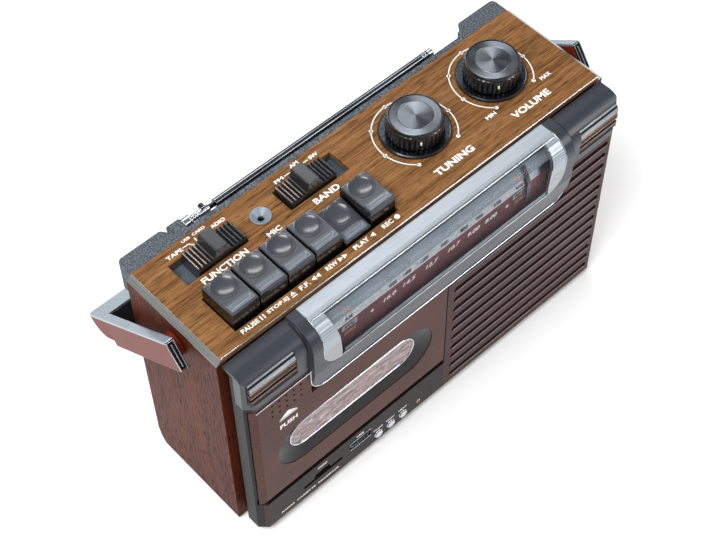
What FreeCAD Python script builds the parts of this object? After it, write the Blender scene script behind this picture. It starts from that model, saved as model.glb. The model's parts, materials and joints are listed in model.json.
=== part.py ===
import FreeCAD, Part
import math
import os
from types import SimpleNamespace

import Sketcher

# A portable radio and cassette recorder in a wood-veneered cabinet.
# Millimetres. +Z is up and z = 0 is the surface that the feet stand on. +X is to the right of
# somebody who faces the front, and the front faces -Y. x = 0 is the middle of the cabinet, and
# y = 0 is the middle of the depth that the whole object takes up with its handle folded back.

doc = FreeCAD.newDocument("CassetteRadio")
sheet = doc.addObject("Spreadsheet::Sheet", "Sizes")

DRIVING_SIZES = {
    # cabinet
    "cabinet_width": 268.5,
    "cabinet_depth": 68.5,
    "cabinet_height": 156.4,
    "cabinet_back": 30.2,
    "foot_height": 2.0,
    "foot_radius": 6.0,
    "side_board": 6.0,
    "base_board": 4.0,
    "top_board": 2.8,
    "edge_strip": 3.25,
    "shell_wall": 2.5,
    "fit_gap": 0.1,
    "running_gap": 0.05,
    # front casing
    "casing_reach": 17.8,
    "casing_side_gap": 2.75,
    "casing_rise": 4.0,
    "casing_rim": 9.8,
    "casing_chamfer": 4.5,
    "casing_fall": 28.4,
    "neck_fall": 6.4,
    "neck_depth": 10.0,
    # dial
    "bezel_drop": 3.0,
    "bezel_round": 10.5,
    "dial_width": 184.0,
    "dial_proud": 3.2,
    "dial_drop": 1.4,
    "dial_fall": 50.4,
    "dial_round": 12.5,
    "dial_corner": 10.0,
    "window_width": 171.0,
    "window_fall": 32.4,
    "window_corner": 12.0,
    "window_wall": 2.0,
    "scale_plate": 1.5,
    "scale_back": 7.3,
    "pointer_rest": 62.0,
    # grille and bright trims
    "slot_pitch": 9.3,
    "slot_height": 4.4,
    "trim_from_dial": 8.0,
    "trim_edge": 2.0,
    "trim_fall_low": 23.9,
    "trim_fall_high": 6.9,
    "trim_bar": 4.0,
    # cassette door
    "door_edge": 1.6,
    "door_right": 3.5,
    "door_bottom": 30.0,
    "door_fall": 31.4,
    "door_step": 92.0,
    "door_fall_under_dial": 51.6,
    "door_plate": 3.0,
    "door_gap": 0.7,
    "door_pin_radius": 1.0,
    "door_round": 4.0,
    "window_bowl_length": 109.5,
    "window_bowl_height": 36.0,
    "window_pane_length": 88.0,
    "window_pane_height": 21.0,
    "door_window_centre": 61.5,
    "door_window_rise": 0.6,
    "media_panel_bottom": 5.5,
    "media_panel_gap": 1.2,
    "button_radius": 2.6,
    "button_over_floor": 3.7,
    "button_travel": 0.8,
    # tape deck
    "cassette_width": 100.6,
    "cassette_thickness": 12.2,
    "deck_plate": 2.0,
    "reel_spacing": 42.5,
    "reel_rise": 2.5,
    "flywheel_radius": 19.0,
    "motor_radius": 15.0,
    "pulley_radius": 4.0,
    "belt_thickness": 1.0,
    # keys
    "key_pitch": 17.8,
    "key_gap": 1.0,
    "keys_left": 114.9,
    "key_length": 22.7,
    "key_back_edge": 35.8,
    "key_rise": 10.0,
    "key_axle_in": 4.5,
    "key_axle_drop": 5.4,
    "key_axle_radius": 1.3,
    "key_travel": 7.5,
    # slide switches
    "switch_length": 39.4,
    "switch_width": 15.4,
    "switch_from_back": 16.6,
    "switch_depth": 6.0,
    "function_centre": 95.5,
    "band_centre": 28.3,
    "slider_length": 30.0,
    "slider_rise": 4.0,
    "slider_nub_rise": 9.0,
    # microphone jack
    "jack_beside_gap": 0.3,
    "jack_from_back": 16.5,
    "jack_radius": 5.6,
    "jack_bore": 1.8,
    # knobs
    "tuning_centre": 33.2,
    "volume_centre": 89.8,
    "knob_from_back": 28.8,
    "knob_ring_radius": 19.4,
    "knob_ring_height": 1.8,
    "knob_radius": 15.7,
    "knob_cap_radius": 14.0,
    "knob_rise": 13.2,
    "shaft_radius": 3.0,
    "drum_radius": 13.0,
    # rear
    "rear_depth": 3.6,
    "rear_side_gap": 2.75,
    "shoulder_depth": 11.0,
    "shoulder_height": 20.0,
    "shoulder_length": 32.5,
    "battery_width": 128.0,
    "battery_height": 70.0,
    "battery_depth": 36.0,
    "battery_level": 46.0,
    "battery_cover": 2.4,
    # antenna
    "antenna_from_back": 8.6,
    "antenna_drop": 4.4,
    "antenna_left": 92.6,
    "antenna_right": 82.0,
    "antenna_hinge": 77.6,
    "antenna_radius": 2.4,
    "antenna_wall": 0.35,
    # handle
    "handle_side_gap": 5.05,
    "handle_arm": 4.7,
    "handle_front": 9.0,
    "handle_back": 8.5,
    "handle_reach": 75.8,
    "handle_grip": 16.0,
    "handle_tail": 13.7,
    "handle_fold": 126.1,
    "handle_pivot_from_back": 36.8,
    "handle_pivot_drop": 16.3,
    "handle_pin_radius": 3.0,
    # speaker
    "speaker_centre": 66.0,
    "speaker_level": 70.0,
    "speaker_radius": 40.0,
    "speaker_depth": 26.0,
}


class Size:
    """A length that is both a number and the sheet expression that gives it."""

    def __init__(self, number, text):
        self.number = number
        self.text = text

    def __add__(self, other):
        return Size(self.number + number(other), f"({self.text} + {text(other)})")

    def __radd__(self, other):
        return Size(number(other) + self.number, f"({text(other)} + {self.text})")

    def __sub__(self, other):
        return Size(self.number - number(other), f"({self.text} - {text(other)})")

    def __rsub__(self, other):
        return Size(number(other) - self.number, f"({text(other)} - {self.text})")

    def __mul__(self, other):
        return Size(self.number * number(other), f"({self.text} * {text(other)})")

    __rmul__ = __mul__

    def __truediv__(self, other):
        return Size(self.number / number(other), f"({self.text} / {text(other)})")

    def __neg__(self):
        return Size(-self.number, f"(0 - {self.text})")


def number(value):
    return value.number if isinstance(value, Size) else float(value)


def text(value):
    return value.text if isinstance(value, Size) else f"{float(value):.6f}"


s = SimpleNamespace()
for line, (alias, value) in enumerate(DRIVING_SIZES.items(), start=1):
    sheet.set(f"A{line}", alias)
    sheet.set(f"B{line}", str(value))
    sheet.setAlias(f"B{line}", alias)
    setattr(s, alias, Size(value, f"Sizes.{alias}"))
doc.recompute()

# --- building blocks ---------------------------------------------------------------------------

PLANES = {"X": "YZ_Plane", "Y": "XZ_Plane", "Z": "XY_Plane"}
AXES = {"X": (1, 0, 0), "Y": (0, 1, 0), "Z": (0, 0, 1), "-Y": (0, -1, 0), "-Z": (0, 0, -1)}
nodes = {}


def node(name, thing):
    """Names one physical piece of the object. Its Label is the name of its file."""
    thing.Label = name
    nodes[name] = thing
    return thing


def drive(sketch, index, value):
    """Binds a sketch constraint to its expression."""
    if isinstance(value, Size):
        sketch.setExpression(f"Constraints[{index}]", value.text)


def pin_point(sketch, geometry, position, u, v):
    """Holds a point of a sketch at (u, v) from the sketch's origin."""
    across = Sketcher.Constraint("DistanceX", -1, 1, geometry, position, number(u))
    drive(sketch, sketch.addConstraint(across), u)
    upward = Sketcher.Constraint("DistanceY", -1, 1, geometry, position, number(v))
    drive(sketch, sketch.addConstraint(upward), v)


def draw_circle(sketch, u, v, radius):
    centre = FreeCAD.Vector(number(u), number(v), 0)
    circle = sketch.addGeometry(Part.Circle(centre, FreeCAD.Vector(0, 0, 1), number(radius)))
    pin_point(sketch, circle, 3, u, v)
    drive(sketch, sketch.addConstraint(Sketcher.Constraint("Radius", circle, number(radius))), radius)


def draw_band(sketch, first, second):
    """A closed outline round two circles (u, v, radius): two arcs and their outer tangents."""
    (u0, v0, r0), (u1, v1, r1) = first, second
    lean = math.atan2(number(v1) - number(v0), number(u1) - number(u0))
    span = math.hypot(number(u1) - number(u0), number(v1) - number(v0))
    open_by = math.acos((number(r0) - number(r1)) / span)
    up = FreeCAD.Vector(0, 0, 1)
    circles = [Part.Circle(FreeCAD.Vector(number(u), number(v), 0), up, number(r))
               for u, v, r in (first, second)]
    arc0 = sketch.addGeometry(Part.ArcOfCircle(circles[0], lean + open_by, lean - open_by + 2 * math.pi))
    arc1 = sketch.addGeometry(Part.ArcOfCircle(circles[1], lean - open_by, lean + open_by))
    ends = [circle.value(lean + side * open_by) for side in (1, -1) for circle in circles]
    upper = sketch.addGeometry(Part.LineSegment(ends[0], ends[1]))
    lower = sketch.addGeometry(Part.LineSegment(ends[2], ends[3]))
    for line, pos, arc, arc_pos in ((upper, 1, arc0, 1), (upper, 2, arc1, 2),
                                    (lower, 1, arc0, 2), (lower, 2, arc1, 1)):
        sketch.addConstraint(Sketcher.Constraint("Tangent", line, pos, arc, arc_pos))
    for arc, (u, v, radius) in ((arc0, first), (arc1, second)):
        pin_point(sketch, arc, 3, u, v)
        drive(sketch, sketch.addConstraint(Sketcher.Constraint("Radius", arc, number(radius))), radius)


def draw_polygon(sketch, corners):
    """A closed outline of straight sides. A corner is (u, v), or (u, v, r) where it is rounded."""
    points = [FreeCAD.Vector(number(c[0]), number(c[1]), 0) for c in corners]
    count = len(corners)
    starts, ends, arcs = [], [], []
    for i, corner in enumerate(corners):
        here, before, after = points[i], points[i - 1], points[(i + 1) % count]
        if len(corner) == 2:
            starts.append(here)
            ends.append(here)
            arcs.append(None)
            continue
        to_before = (before - here).normalize()
        to_after = (after - here).normalize()
        half = to_before.getAngle(to_after) / 2
        reach = number(corner[2]) / math.tan(half)
        middle = here + (to_before + to_after).normalize() * (number(corner[2]) / math.sin(half))
        first, last = here + to_before * reach, here + to_after * reach
        left_turn = to_after.cross(to_before).z > 0
        ends.append(first)
        starts.append(last)
        arcs.append((middle, first - middle, last - middle, left_turn))
    sides = [sketch.addGeometry(Part.LineSegment(starts[i], ends[(i + 1) % count]))
             for i in range(count)]
    for i, corner in enumerate(corners):
        side_in, side_out = sides[i - 1], sides[i]
        if arcs[i] is None:
            sketch.addConstraint(Sketcher.Constraint("Coincident", side_in, 2, side_out, 1))
            pin_point(sketch, side_out, 1, corner[0], corner[1])
            continue
        middle, to_first, to_last, left_turn = arcs[i]
        angles = [math.atan2(way.y, way.x) for way in (to_first, to_last)]
        begin, finish = angles if left_turn else reversed(angles)
        if finish < begin:
            finish += 2 * math.pi
        circle = Part.Circle(middle, FreeCAD.Vector(0, 0, 1), number(corner[2]))
        arc = sketch.addGeometry(Part.ArcOfCircle(circle, begin, finish))
        tip = sketch.addGeometry(Part.Point(points[i]), True)
        pin_point(sketch, tip, 1, corner[0], corner[1])
        sketch.addConstraint(Sketcher.Constraint("PointOnObject", tip, 1, side_in))
        sketch.addConstraint(Sketcher.Constraint("PointOnObject", tip, 1, side_out))
        sketch.addConstraint(Sketcher.Constraint("Tangent", side_in, 2, arc, 1 if left_turn else 2))
        sketch.addConstraint(Sketcher.Constraint("Tangent", side_out, 1, arc, 2 if left_turn else 1))
        drive(sketch, sketch.addConstraint(Sketcher.Constraint("Radius", arc, number(corner[2]))),
              corner[2])


def draw(sketch, loop):
    """One loop: ("circle", u, v, r), ("band", (u, v, r), (u, v, r)) or a list of corners."""
    if loop[0] == "circle":
        draw_circle(sketch, *loop[1:])
    elif loop[0] == "band":
        draw_band(sketch, *loop[1:])
    else:
        draw_polygon(sketch, loop)


def start_body(name, plane, offset, loops):
    body = doc.addObject("PartDesign::Body", name)
    sketch = body.newObject("Sketcher::SketchObject", name + "_sketch")
    origin_plane = [f for f in body.Origin.OriginFeatures if f.Role == plane][0]
    sketch.AttachmentSupport = [(origin_plane, "")]
    sketch.MapMode = "FlatFace"
    sketch.setExpression("AttachmentOffset.Base.z", text(offset))
    for loop in loops:
        draw(sketch, loop)
    return body, sketch


def slab(name, axis, low, high, outline, *holes):
    """A plate that lies across an axis from low to high, with an outline and holes.

    The outline is in (y, z) across X, in (x, z) across Y and in (x, y) across Z.
    """
    offset = -high if axis == "Y" else low
    body, sketch = start_body(name, PLANES[axis], offset, (outline, *holes))
    pad = body.newObject("PartDesign::Pad", name + "_pad")
    pad.Profile = sketch
    pad.setExpression("Length", text(high - low))
    sketch.Visibility = False
    return body


def place(thing, at, turn=None):
    if turn is not None:
        thing.Placement = FreeCAD.Placement(FreeCAD.Vector(0, 0, 0), turn)
    for letter, value in zip("xyz", at):
        thing.setExpression(f"Placement.Base.{letter}", text(value))
    return thing


def facing(direction):
    return FreeCAD.Rotation(FreeCAD.Vector(0, 0, 1), FreeCAD.Vector(*AXES[direction]))


def turned(name, at, direction, profile):
    """A turned piece: profile corners are (radius, height along the direction)."""
    body, sketch = start_body(name, "XZ_Plane", 0, (profile,))
    spin = body.newObject("PartDesign::Revolution", name + "_spin")
    spin.Profile = sketch
    spin.ReferenceAxis = (sketch, ["V_Axis"])
    spin.Angle = 360
    sketch.Visibility = False
    return place(body, at, facing(direction))


def box(name, x, y, z):
    """A block from three (low, high) pairs."""
    block = doc.addObject("Part::Box", name)
    for side, (low, high) in zip(("Length", "Width", "Height"), (x, y, z)):
        block.setExpression(side, text(high - low))
    return place(block, (x[0], y[0], z[0]))


def rod(name, at, direction, radius, length):
    bar = doc.addObject("Part::Cylinder", name)
    bar.setExpression("Radius", text(radius))
    bar.setExpression("Height", text(length))
    return place(bar, at, facing(direction))


def join(name, *pieces):
    whole = doc.addObject("Part::MultiFuse", name)
    whole.Shapes = list(pieces)
    whole.Refine = True
    return whole


def cut(name, base, *tools):
    result = doc.addObject("Part::Cut", name)
    result.Base = base
    result.Tool = tools[0] if len(tools) == 1 else join(name + "_tools", *tools)
    result.Refine = True
    return result


def common(name, first, second):
    result = doc.addObject("Part::Common", name)
    result.Base = first
    result.Tool = second
    result.Refine = True
    return result


def group(name, *pieces):
    """Like pieces that are separate solids in one node."""
    whole = doc.addObject("Part::Compound", name)
    whole.Links = list(pieces)
    return whole


# --- main planes -------------------------------------------------------------------------------

half = s.cabinet_width / 2
back = s.cabinet_back
front = back - s.cabinet_depth
base = s.foot_height
top = base + s.cabinet_height
face = front - s.casing_reach
inside = half - s.side_board
casing_half = half - s.casing_side_gap
casing_bottom = base + s.casing_rise
rim_back = face + s.casing_rim
split = top - s.casing_fall
wall = s.shell_wall
gap = s.fit_gap

# --- wooden cabinet ----------------------------------------------------------------------------

pivot_y = back - s.handle_pivot_from_back
pivot_z = top - s.handle_pivot_drop
board_top = top - s.top_board
board_outline = [(front, base), (back - 4.9, base), (back - 1.6, base + 5), (back, base + 11.7),
                 (back, board_top), (front, board_top)]
pin_hole = ("circle", pivot_y, pivot_z, s.handle_pin_radius)
node("side_panel_left", slab("left_board", "X", -half, -inside, board_outline, pin_hole))
node("side_panel_right", slab("right_board", "X", inside, half, board_outline, pin_hole))
node("base_board", box("bottom_board", (-inside, inside), (front, back - 4.9), (base, base + s.base_board)))

strip_outline = [(half, board_top), (half - s.edge_strip, top), (half - s.edge_strip, board_top)]
left_strip = slab("left_strip", "Y", front, back, [(-x, z) for x, z in strip_outline])
right_strip = slab("right_strip", "Y", front, back, strip_outline)
node("edge_strips", group("edge_strip_pair", left_strip, right_strip))

keys_back = back - s.key_back_edge
keys_front = keys_back - s.key_length
keys_start = -s.keys_left
keys_end = keys_start + s.key_pitch * 6 - s.key_gap
keys_hole = [(keys_start - 0.6, keys_front - 2.2), (keys_end + 0.6, keys_front - 2.2),
             (keys_end + 0.6, keys_back + 0.6), (keys_start - 0.6, keys_back + 0.6)]
switch_y = back - s.switch_from_back
knob_y = back - s.knob_from_back
jack_at = (3 * s.key_pitch - s.keys_left - s.jack_beside_gap, back - s.jack_from_back)
jack_body = s.jack_radius - 0.8
bushing_radius = s.shaft_radius + 1.5


def rectangle(x, y):
    return [(x[0], y[0]), (x[1], y[0]), (x[1], y[1]), (x[0], y[1])]


def switch_hole(centre):
    return rectangle((-centre - s.switch_length / 2, -centre + s.switch_length / 2),
                     (switch_y - s.switch_width / 2, switch_y + s.switch_width / 2))


panel_half = half - s.edge_strip
node("top_panel", slab("lid", "Z", board_top, top, rectangle((-panel_half, panel_half), (front, back)),
                       keys_hole, switch_hole(s.function_centre), switch_hole(s.band_centre),
                       ("circle", *jack_at, jack_body + gap),
                       ("circle", s.tuning_centre, knob_y, bushing_radius + gap),
                       ("circle", s.volume_centre, knob_y, bushing_radius + gap)))

foot_x = inside - 12
feet = [rod(f"foot_{i}", (x, y, 0), "Z", s.foot_radius, s.foot_height)
        for i, (x, y) in enumerate([(-foot_x, front + 12), (foot_x, front + 12),
                                    (-foot_x, back - 16), (foot_x, back - 16)])]
node("feet", group("foot_set", *feet))

# --- front casing ------------------------------------------------------------------------------

bevel = s.casing_chamfer
outer = [(-casing_half, rim_back), (-casing_half, face + bevel), (bevel - casing_half, face),
         (casing_half - bevel, face), (casing_half, face + bevel), (casing_half, rim_back)]
inner = [(casing_half - wall, rim_back), (casing_half - wall, face + bevel + 1),
         (casing_half - bevel - 1, face + wall), (bevel + 1 - casing_half, face + wall),
         (wall - casing_half, face + bevel + 1), (wall - casing_half, rim_back)]
neck_half = inside - 0.3
neck_bottom = base + s.base_board + 0.3
neck_top = top - s.neck_fall
neck_hole = rectangle((wall - neck_half, neck_half - wall), (neck_bottom + wall, neck_top - wall))
front_wall = slab("front_wall", "Z", casing_bottom, split, outer + inner)
front_floor = slab("front_floor", "Z", casing_bottom, casing_bottom + wall, outer)
flange = slab("flange", "Y", rim_back, rim_back + wall,
              rectangle((-casing_half, casing_half), (casing_bottom, neck_top)), neck_hole)
neck = slab("neck", "Y", rim_back, rim_back + s.neck_depth,
            rectangle((-neck_half, neck_half), (neck_bottom, neck_top)), neck_hole)

# The door turns on two steel pins near its lower edge.
door_left = casing_half - s.door_edge
door_y = face + s.door_plate
door_low = base + s.door_bottom
door_high = top - s.door_fall
door_mid = top - s.door_fall_under_dial
hinge_y = door_y + 1.7
hinge_z = door_low + 4.4
lug_radius = s.door_pin_radius + 0.55
left_lug = slab("left_lug", "X", wall - casing_half, wall - casing_half + 2.1,
                ("band", (hinge_y, hinge_z, lug_radius), (rim_back + 1, hinge_z, lug_radius)))
hinge_relief = box("hinge_relief", (-door_left - s.door_gap, wall - casing_half + 2.1),
                   (face - 1, hinge_y + 1.6), (door_low - s.door_gap, hinge_z))
right_lug = box("right_lug", (s.door_right + 1.1, s.door_right + 5),
                (face + wall - 0.5, hinge_y + 2.5), (hinge_z - 3, hinge_z + 3))


def door_outline(grow):
    """The door's outline in the front plane, larger by grow on every side."""
    return [(-door_left - grow, door_low - grow), (s.door_right + grow, door_low - grow),
            (s.door_right + grow, door_mid + grow), (-s.door_step + grow, door_mid + grow),
            (-s.door_step + grow, door_high + grow), (-door_left - grow, door_high + grow)]


door_hole = slab("door_hole", "Y", face - 1, door_y + 0.4, door_outline(s.door_gap))
media_low = base + s.media_panel_bottom
media_high = door_low - s.media_panel_gap
media_left = bevel - casing_half + 0.4
media_hole = box("media_hole", (media_left - gap, s.door_right + gap), (face - 1, face + wall),
                 (media_low - gap, door_low - s.door_gap + 0.1))
dial_half = s.dial_width / 2
dial_hole = box("dial_hole", (-dial_half - gap, dial_half + gap), (face - 1, face + wall + 0.1),
                (top - s.dial_fall - gap, split + 1))
slots = []
slot_end = casing_half - bevel - 2.5 - s.slot_height / 2
slot_room = top - s.casing_fall - s.slot_height - (base + 11.2)
for i in range(int(slot_room.number / s.slot_pitch.number) + 1):
    level = base + 11.2 + s.slot_pitch * i
    beside_dial = level.number > (top - s.dial_fall).number
    start = dial_half + 3 if beside_dial else s.door_right + 5.3
    slots.append(("band", (start + s.slot_height / 2, level, s.slot_height / 2),
                  (slot_end, level, s.slot_height / 2)))
slot_cutter = slab("slot_cutter", "Y", face - 1, face + wall + 1, slots[0], *slots[1:])
pin_left = (wall - casing_half + 0.1, hinge_y, hinge_z)
pin_right = (-4, hinge_y, hinge_z)
pin_length_left = 8.0
pin_length_right = s.door_right + 9
lug_holes = [rod("lug_hole_left", (wall - casing_half - 0.5, hinge_y, hinge_z), "X", s.door_pin_radius, 3.4),
             rod("lug_hole_right", (s.door_right + 1, hinge_y, hinge_z), "X", s.door_pin_radius, 5)]
walls = cut("casing_walls", join("casing_shell", front_wall, front_floor, flange, neck), hinge_relief)
casing = join("casing", walls, left_lug, right_lug)
node("front_cabinet", cut("front_casing", casing, door_hole, media_hole, dial_hole, slot_cutter, *lug_holes))

cloth_low = base + 6.5
node("speaker_cloth", box("cloth", (9, casing_half - bevel - 2), (face + wall, face + wall + 0.6),
                          (cloth_low + 4, top - s.dial_fall - 2)))

# --- dial bezel, window and bright trims -------------------------------------------------------

bezel_back = front - 1
bezel_top = top - s.bezel_drop
dial_face = face - s.dial_proud
dial_top = top - s.dial_drop
dial_low = top - s.dial_fall
window_low = top - s.window_fall
window_half = s.window_width / 2


def bezel_side(name, x0, x1):
    """The painted quarter-round beside the dial."""
    return slab(name, "X", x0, x1, [
        (bezel_back, bezel_top), (face, bezel_top, s.bezel_round), (face, split), (face + wall, split),
        (face + wall, bezel_top - wall, s.bezel_round - wall), (bezel_back, bezel_top - wall)])


def bezel_end(name, x0, x1):
    """A wall that closes an end of the quarter-round."""
    return slab(name, "X", x0, x1, [
        (rim_back, bezel_top), (face, bezel_top, s.bezel_round), (face, split), (rim_back, split)])


def dial_end(name, x0, x1):
    """A wall that closes an end of the raised dial housing."""
    return slab(name, "X", x0, x1, [
        (bezel_back, dial_top), (dial_face, dial_top, s.dial_round), (dial_face, window_low),
        (face, dial_low),
        (face + wall, dial_low), (face + wall, bezel_top - wall), (bezel_back, bezel_top - wall)])


dial_shell = slab("dial_shell", "X", -dial_half, dial_half, [
    (bezel_back, dial_top), (dial_face, dial_top, s.dial_round), (dial_face, window_low), (face, dial_low),
    (face + wall, dial_low), (face + wall, dial_low + 4), (dial_face + wall, window_low + 1),
    (dial_face + wall, dial_top - wall, s.dial_round - wall), (bezel_back, dial_top - wall)])
dial_solid = join("dial_solid", dial_shell, dial_end("dial_end_left", -dial_half, wall - dial_half),
                  dial_end("dial_end_right", dial_half - wall, dial_half))
dial_outline = slab("dial_outline", "Y", dial_face - 1, bezel_back + 1, [
    (-dial_half, dial_low, s.dial_corner), (dial_half, dial_low, s.dial_corner),
    (dial_half, top), (-dial_half, top)])


def window_outline(name, shrink):
    """The window's outline seen from the front, with rounded lower corners."""
    return slab(name, "Y", dial_face - 2, bezel_back + 2, [
        (shrink - window_half, window_low + shrink, s.window_corner),
        (window_half - shrink, window_low + shrink, s.window_corner),
        (window_half - shrink, top + 1), (shrink - window_half, top + 1)])


bezel_parts = [common("dial_housing", dial_solid, dial_outline)]
for side, x0, x1, end0 in (("left", -casing_half, -dial_half, -casing_half),
                           ("right", dial_half, casing_half, casing_half - wall)):
    bezel_parts.append(bezel_side("bezel_" + side, x0, x1))
    bezel_parts.append(bezel_end("bezel_end_" + side, end0, end0 + wall))
trim_inner = dial_half + s.trim_from_dial
trim_outer = casing_half - s.trim_edge
trim_low = top - s.trim_fall_low
trim_high = top - s.trim_fall_high
bezel_tools = [window_outline("window_hole", 0)]
for side, x0, x1 in (("left", -trim_outer, -trim_inner), ("right", trim_inner, trim_outer)):
    bezel_tools.append(box("trim_hole_" + side, (x0, x1), (face - 1, face + 5), (trim_low, trim_high)))
for side in (-1, 1):
    corner = [(side * (casing_half + 1), face - 1), (side * (casing_half - bevel), face - 1),
              (side * (casing_half - bevel), face), (side * casing_half, face + bevel),
              (side * (casing_half + 1), face + bevel)]
    bezel_tools.append(slab(f"bezel_bevel_{side + 2}", "Z", split - 1, bezel_top + 1, corner))
node("dial_bezel", cut("bezel", join("bezel_body", *bezel_parts), *bezel_tools))

window_shell = slab("window_shell", "X", -window_half, window_half, [
    (bezel_back, dial_top), (dial_face, dial_top, s.dial_round), (dial_face, window_low),
    (dial_face + s.window_wall, window_low),
    (dial_face + s.window_wall, dial_top - s.window_wall, s.dial_round - s.window_wall),
    (bezel_back, dial_top - s.window_wall)])
node("dial_window", common("window_lens", window_shell, window_outline("lens_outline", gap)))

scale_y = dial_face + s.scale_back
scale_low = dial_low + 6
scale_high = dial_top - 9.6
node("dial_scale", box("scale", (wall + gap - dial_half, dial_half - wall - gap),
                       (scale_y - s.scale_plate, scale_y), (scale_low, scale_high)))
pointer_front = scale_y - s.scale_plate - 1.6
needle = box("needle", (s.pointer_rest - 0.8, s.pointer_rest + 0.8), (pointer_front, pointer_front + 1),
             (window_low + 1, scale_high + 1.6))
bridge = box("bridge", (s.pointer_rest - 3, s.pointer_rest + 3), (pointer_front, scale_y + 2.2),
             (scale_high + 0.6, scale_high + 1.8))
carriage = box("carriage", (s.pointer_rest - 3, s.pointer_rest + 3), (scale_y + 0.8, scale_y + 2.2),
               (scale_high - 6, scale_high + 1.8))
node("dial_pointer", join("pointer", needle, bridge, carriage))

trims = []
for side, x0, x1 in (("left", -trim_outer, -trim_inner), ("right", trim_inner, trim_outer)):
    ends = (x0 + gap, x1 - gap)
    bars = [box(f"trim_backing_{side}", ends, (face + 3.4, face + 5), (trim_low + gap, trim_high - gap))]
    for i in range(3):
        low = trim_low + 0.6 + i * (s.trim_bar + 1.6)
        bars.append(box(f"trim_bar_{side}_{i}", ends, (face + 0.3, face + 4), (low, low + s.trim_bar)))
    trims.append(common("trim_" + side, join("trim_bars_" + side, *bars), slab(
        "trim_shape_" + side, "X", x0, x1,
        [(face + 0.2, bezel_top, s.bezel_round), (face + 0.2, split), (bezel_back, split),
        (bezel_back, bezel_top)])))
node("front_trims", group("trim_pair", *trims))

# --- cassette door -----------------------------------------------------------------------------

door_x = -s.door_window_centre
pane_z = (door_low + door_mid) / 2 + s.door_window_rise


def stadium(length, height):
    """A round-ended outline about the middle of the door's window."""
    reach = (length - height) / 2
    return ("band", (door_x - reach, pane_z, height / 2), (door_x + reach, pane_z, height / 2))


door_plate = slab("door_plate", "Y", face, door_y, door_outline(0),
                  stadium(s.window_bowl_length, s.window_bowl_height))
knuckle_radius = s.door_pin_radius + 1.2
knuckles = [rod("knuckle_left", (media_left + 0.4, hinge_y, hinge_z), "X", knuckle_radius, 6),
            rod("knuckle_right", (-4, hinge_y, hinge_z), "X", knuckle_radius, s.door_right + 3.6)]
pin_bores = [rod("pin_bore_left", (-door_left, hinge_y, hinge_z), "X", s.door_pin_radius + s.running_gap, 10),
             rod("pin_bore_right", (-5, hinge_y, hinge_z), "X", s.door_pin_radius + s.running_gap, 10)]
edge = s.door_round
lower_corner = cut("lower_corner",
                   box("lower_block", (-door_left - 1, s.door_right + 1), (face - 1, face + edge),
                       (door_low - 1, door_low + edge)),
                   rod("lower_round", (-door_left - 2, face + edge, door_low + edge), "X", edge,
                       door_left + s.door_right + 4))
side_bevel = slab("side_bevel", "Z", door_low - 1, door_high + 1, [
    (-door_left - 1, face - 1), (media_left, face - 1), (media_left, face), (-door_left, face + 2.6),
    (-door_left - 1, face + 2.6)])
mic_holes = []
for column in range(5):
    for line in range(3):
        mic_holes.append(("circle", 12.5 - door_left + 4.7 * column, door_high - 14.3 + 4.9 * line, 0.8))
mic_cutter = slab("mic_cutter", "Y", face - 1, door_y + 1, mic_holes[0], *mic_holes[1:])
node("cassette_door", cut("door", join("door_body", door_plate, *knuckles), *pin_bores, lower_corner,
                          side_bevel, mic_cutter))

pane = stadium(s.window_pane_length, s.window_pane_height)
pane_y = face + 3.6
node("door_window_frame", slab("window_frame", "Y", face + 1.2, pane_y + 1.2, stadium(
    s.window_bowl_length - gap, s.window_bowl_height - gap), pane))
node("door_window", slab("window_pane", "Y", pane_y, pane_y + 1.2, stadium(
    s.window_pane_length - gap, s.window_pane_height - gap)))

pocket_half = s.cassette_width / 2 + 0.4
pocket_back = pane_y + 1.4 + s.cassette_thickness
pocket_low = pane_z - 30
pocket_high = door_mid - 4.8
guides = [box("guide_left", (door_x - pocket_half - 1.4, door_x - pocket_half), (door_y, pocket_back),
              (pocket_low, pocket_high)),
          box("guide_right", (door_x + pocket_half, door_x + pocket_half + 1.4), (door_y, pocket_back),
              (pocket_low, pocket_high)),
          box("guide_shelf", (door_x - pocket_half, door_x + pocket_half), (door_y, pocket_back),
              (pocket_low, pocket_low + 1.6))]
frame_clearance = slab("frame_clearance", "Y", door_y - 1, pane_y + 1.3,
                       stadium(s.window_bowl_length, s.window_bowl_height))
node("cassette_holder", cut("holder", group("guide_set", *guides), frame_clearance))

# --- media panel under the door ----------------------------------------------------------------

usb_x = (-67.6, -52.3)
usb_z = (base + 15.8, base + 22.0)
card_x = (-101.4, -73.4)
card_z = (base + 14.2, base + 16.8)
card_notch = [(card_x[0], card_z[0]), (card_x[1], card_z[0]), (card_x[1], card_z[1]), (-82, card_z[1]),
              (-83.4, base + 20.8, 1.2), (-92.6, base + 20.8, 1.2), (-94, card_z[1]), (card_x[0], card_z[1])]
button_z = casing_bottom + wall + s.button_over_floor
buttons = (("button_mode", -46.4), ("button_previous", -37.0), ("button_next", -27.6))
button_holes = [("circle", x, button_z, s.button_radius + gap) for name, x in buttons]
node("media_panel", slab("media_plate", "Y", face, face + wall,
                         rectangle((media_left, s.door_right), (media_low, media_high)),
                         rectangle(usb_x, usb_z), card_notch, *button_holes))
for name, x in buttons:
    stem = rod(name + "_stem", (x, face - 1, button_z), "Y", s.button_radius, wall + 1.9)
    collar = rod(name + "_collar", (x, face + wall + s.button_travel + 0.1, button_z), "Y",
                 s.button_radius + 0.7, 1.2)
    node(name, join(name + "_body", stem, rod(name + "_link", (x, face + wall, button_z), "Y",
                                              s.button_radius, 1.6), collar))
usb_shell = cut("usb_shell",
                box("usb_case", (usb_x[0] + 1, usb_x[1] - 1), (face + 0.6, face + 15),
                    (usb_z[0] + 0.3, usb_z[1] - 0.3)),
                box("usb_cavity", (usb_x[0] + 1.4, usb_x[1] - 1.4), (face, face + 14),
                    (usb_z[0] + 0.7, usb_z[1] - 0.7)))
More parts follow.
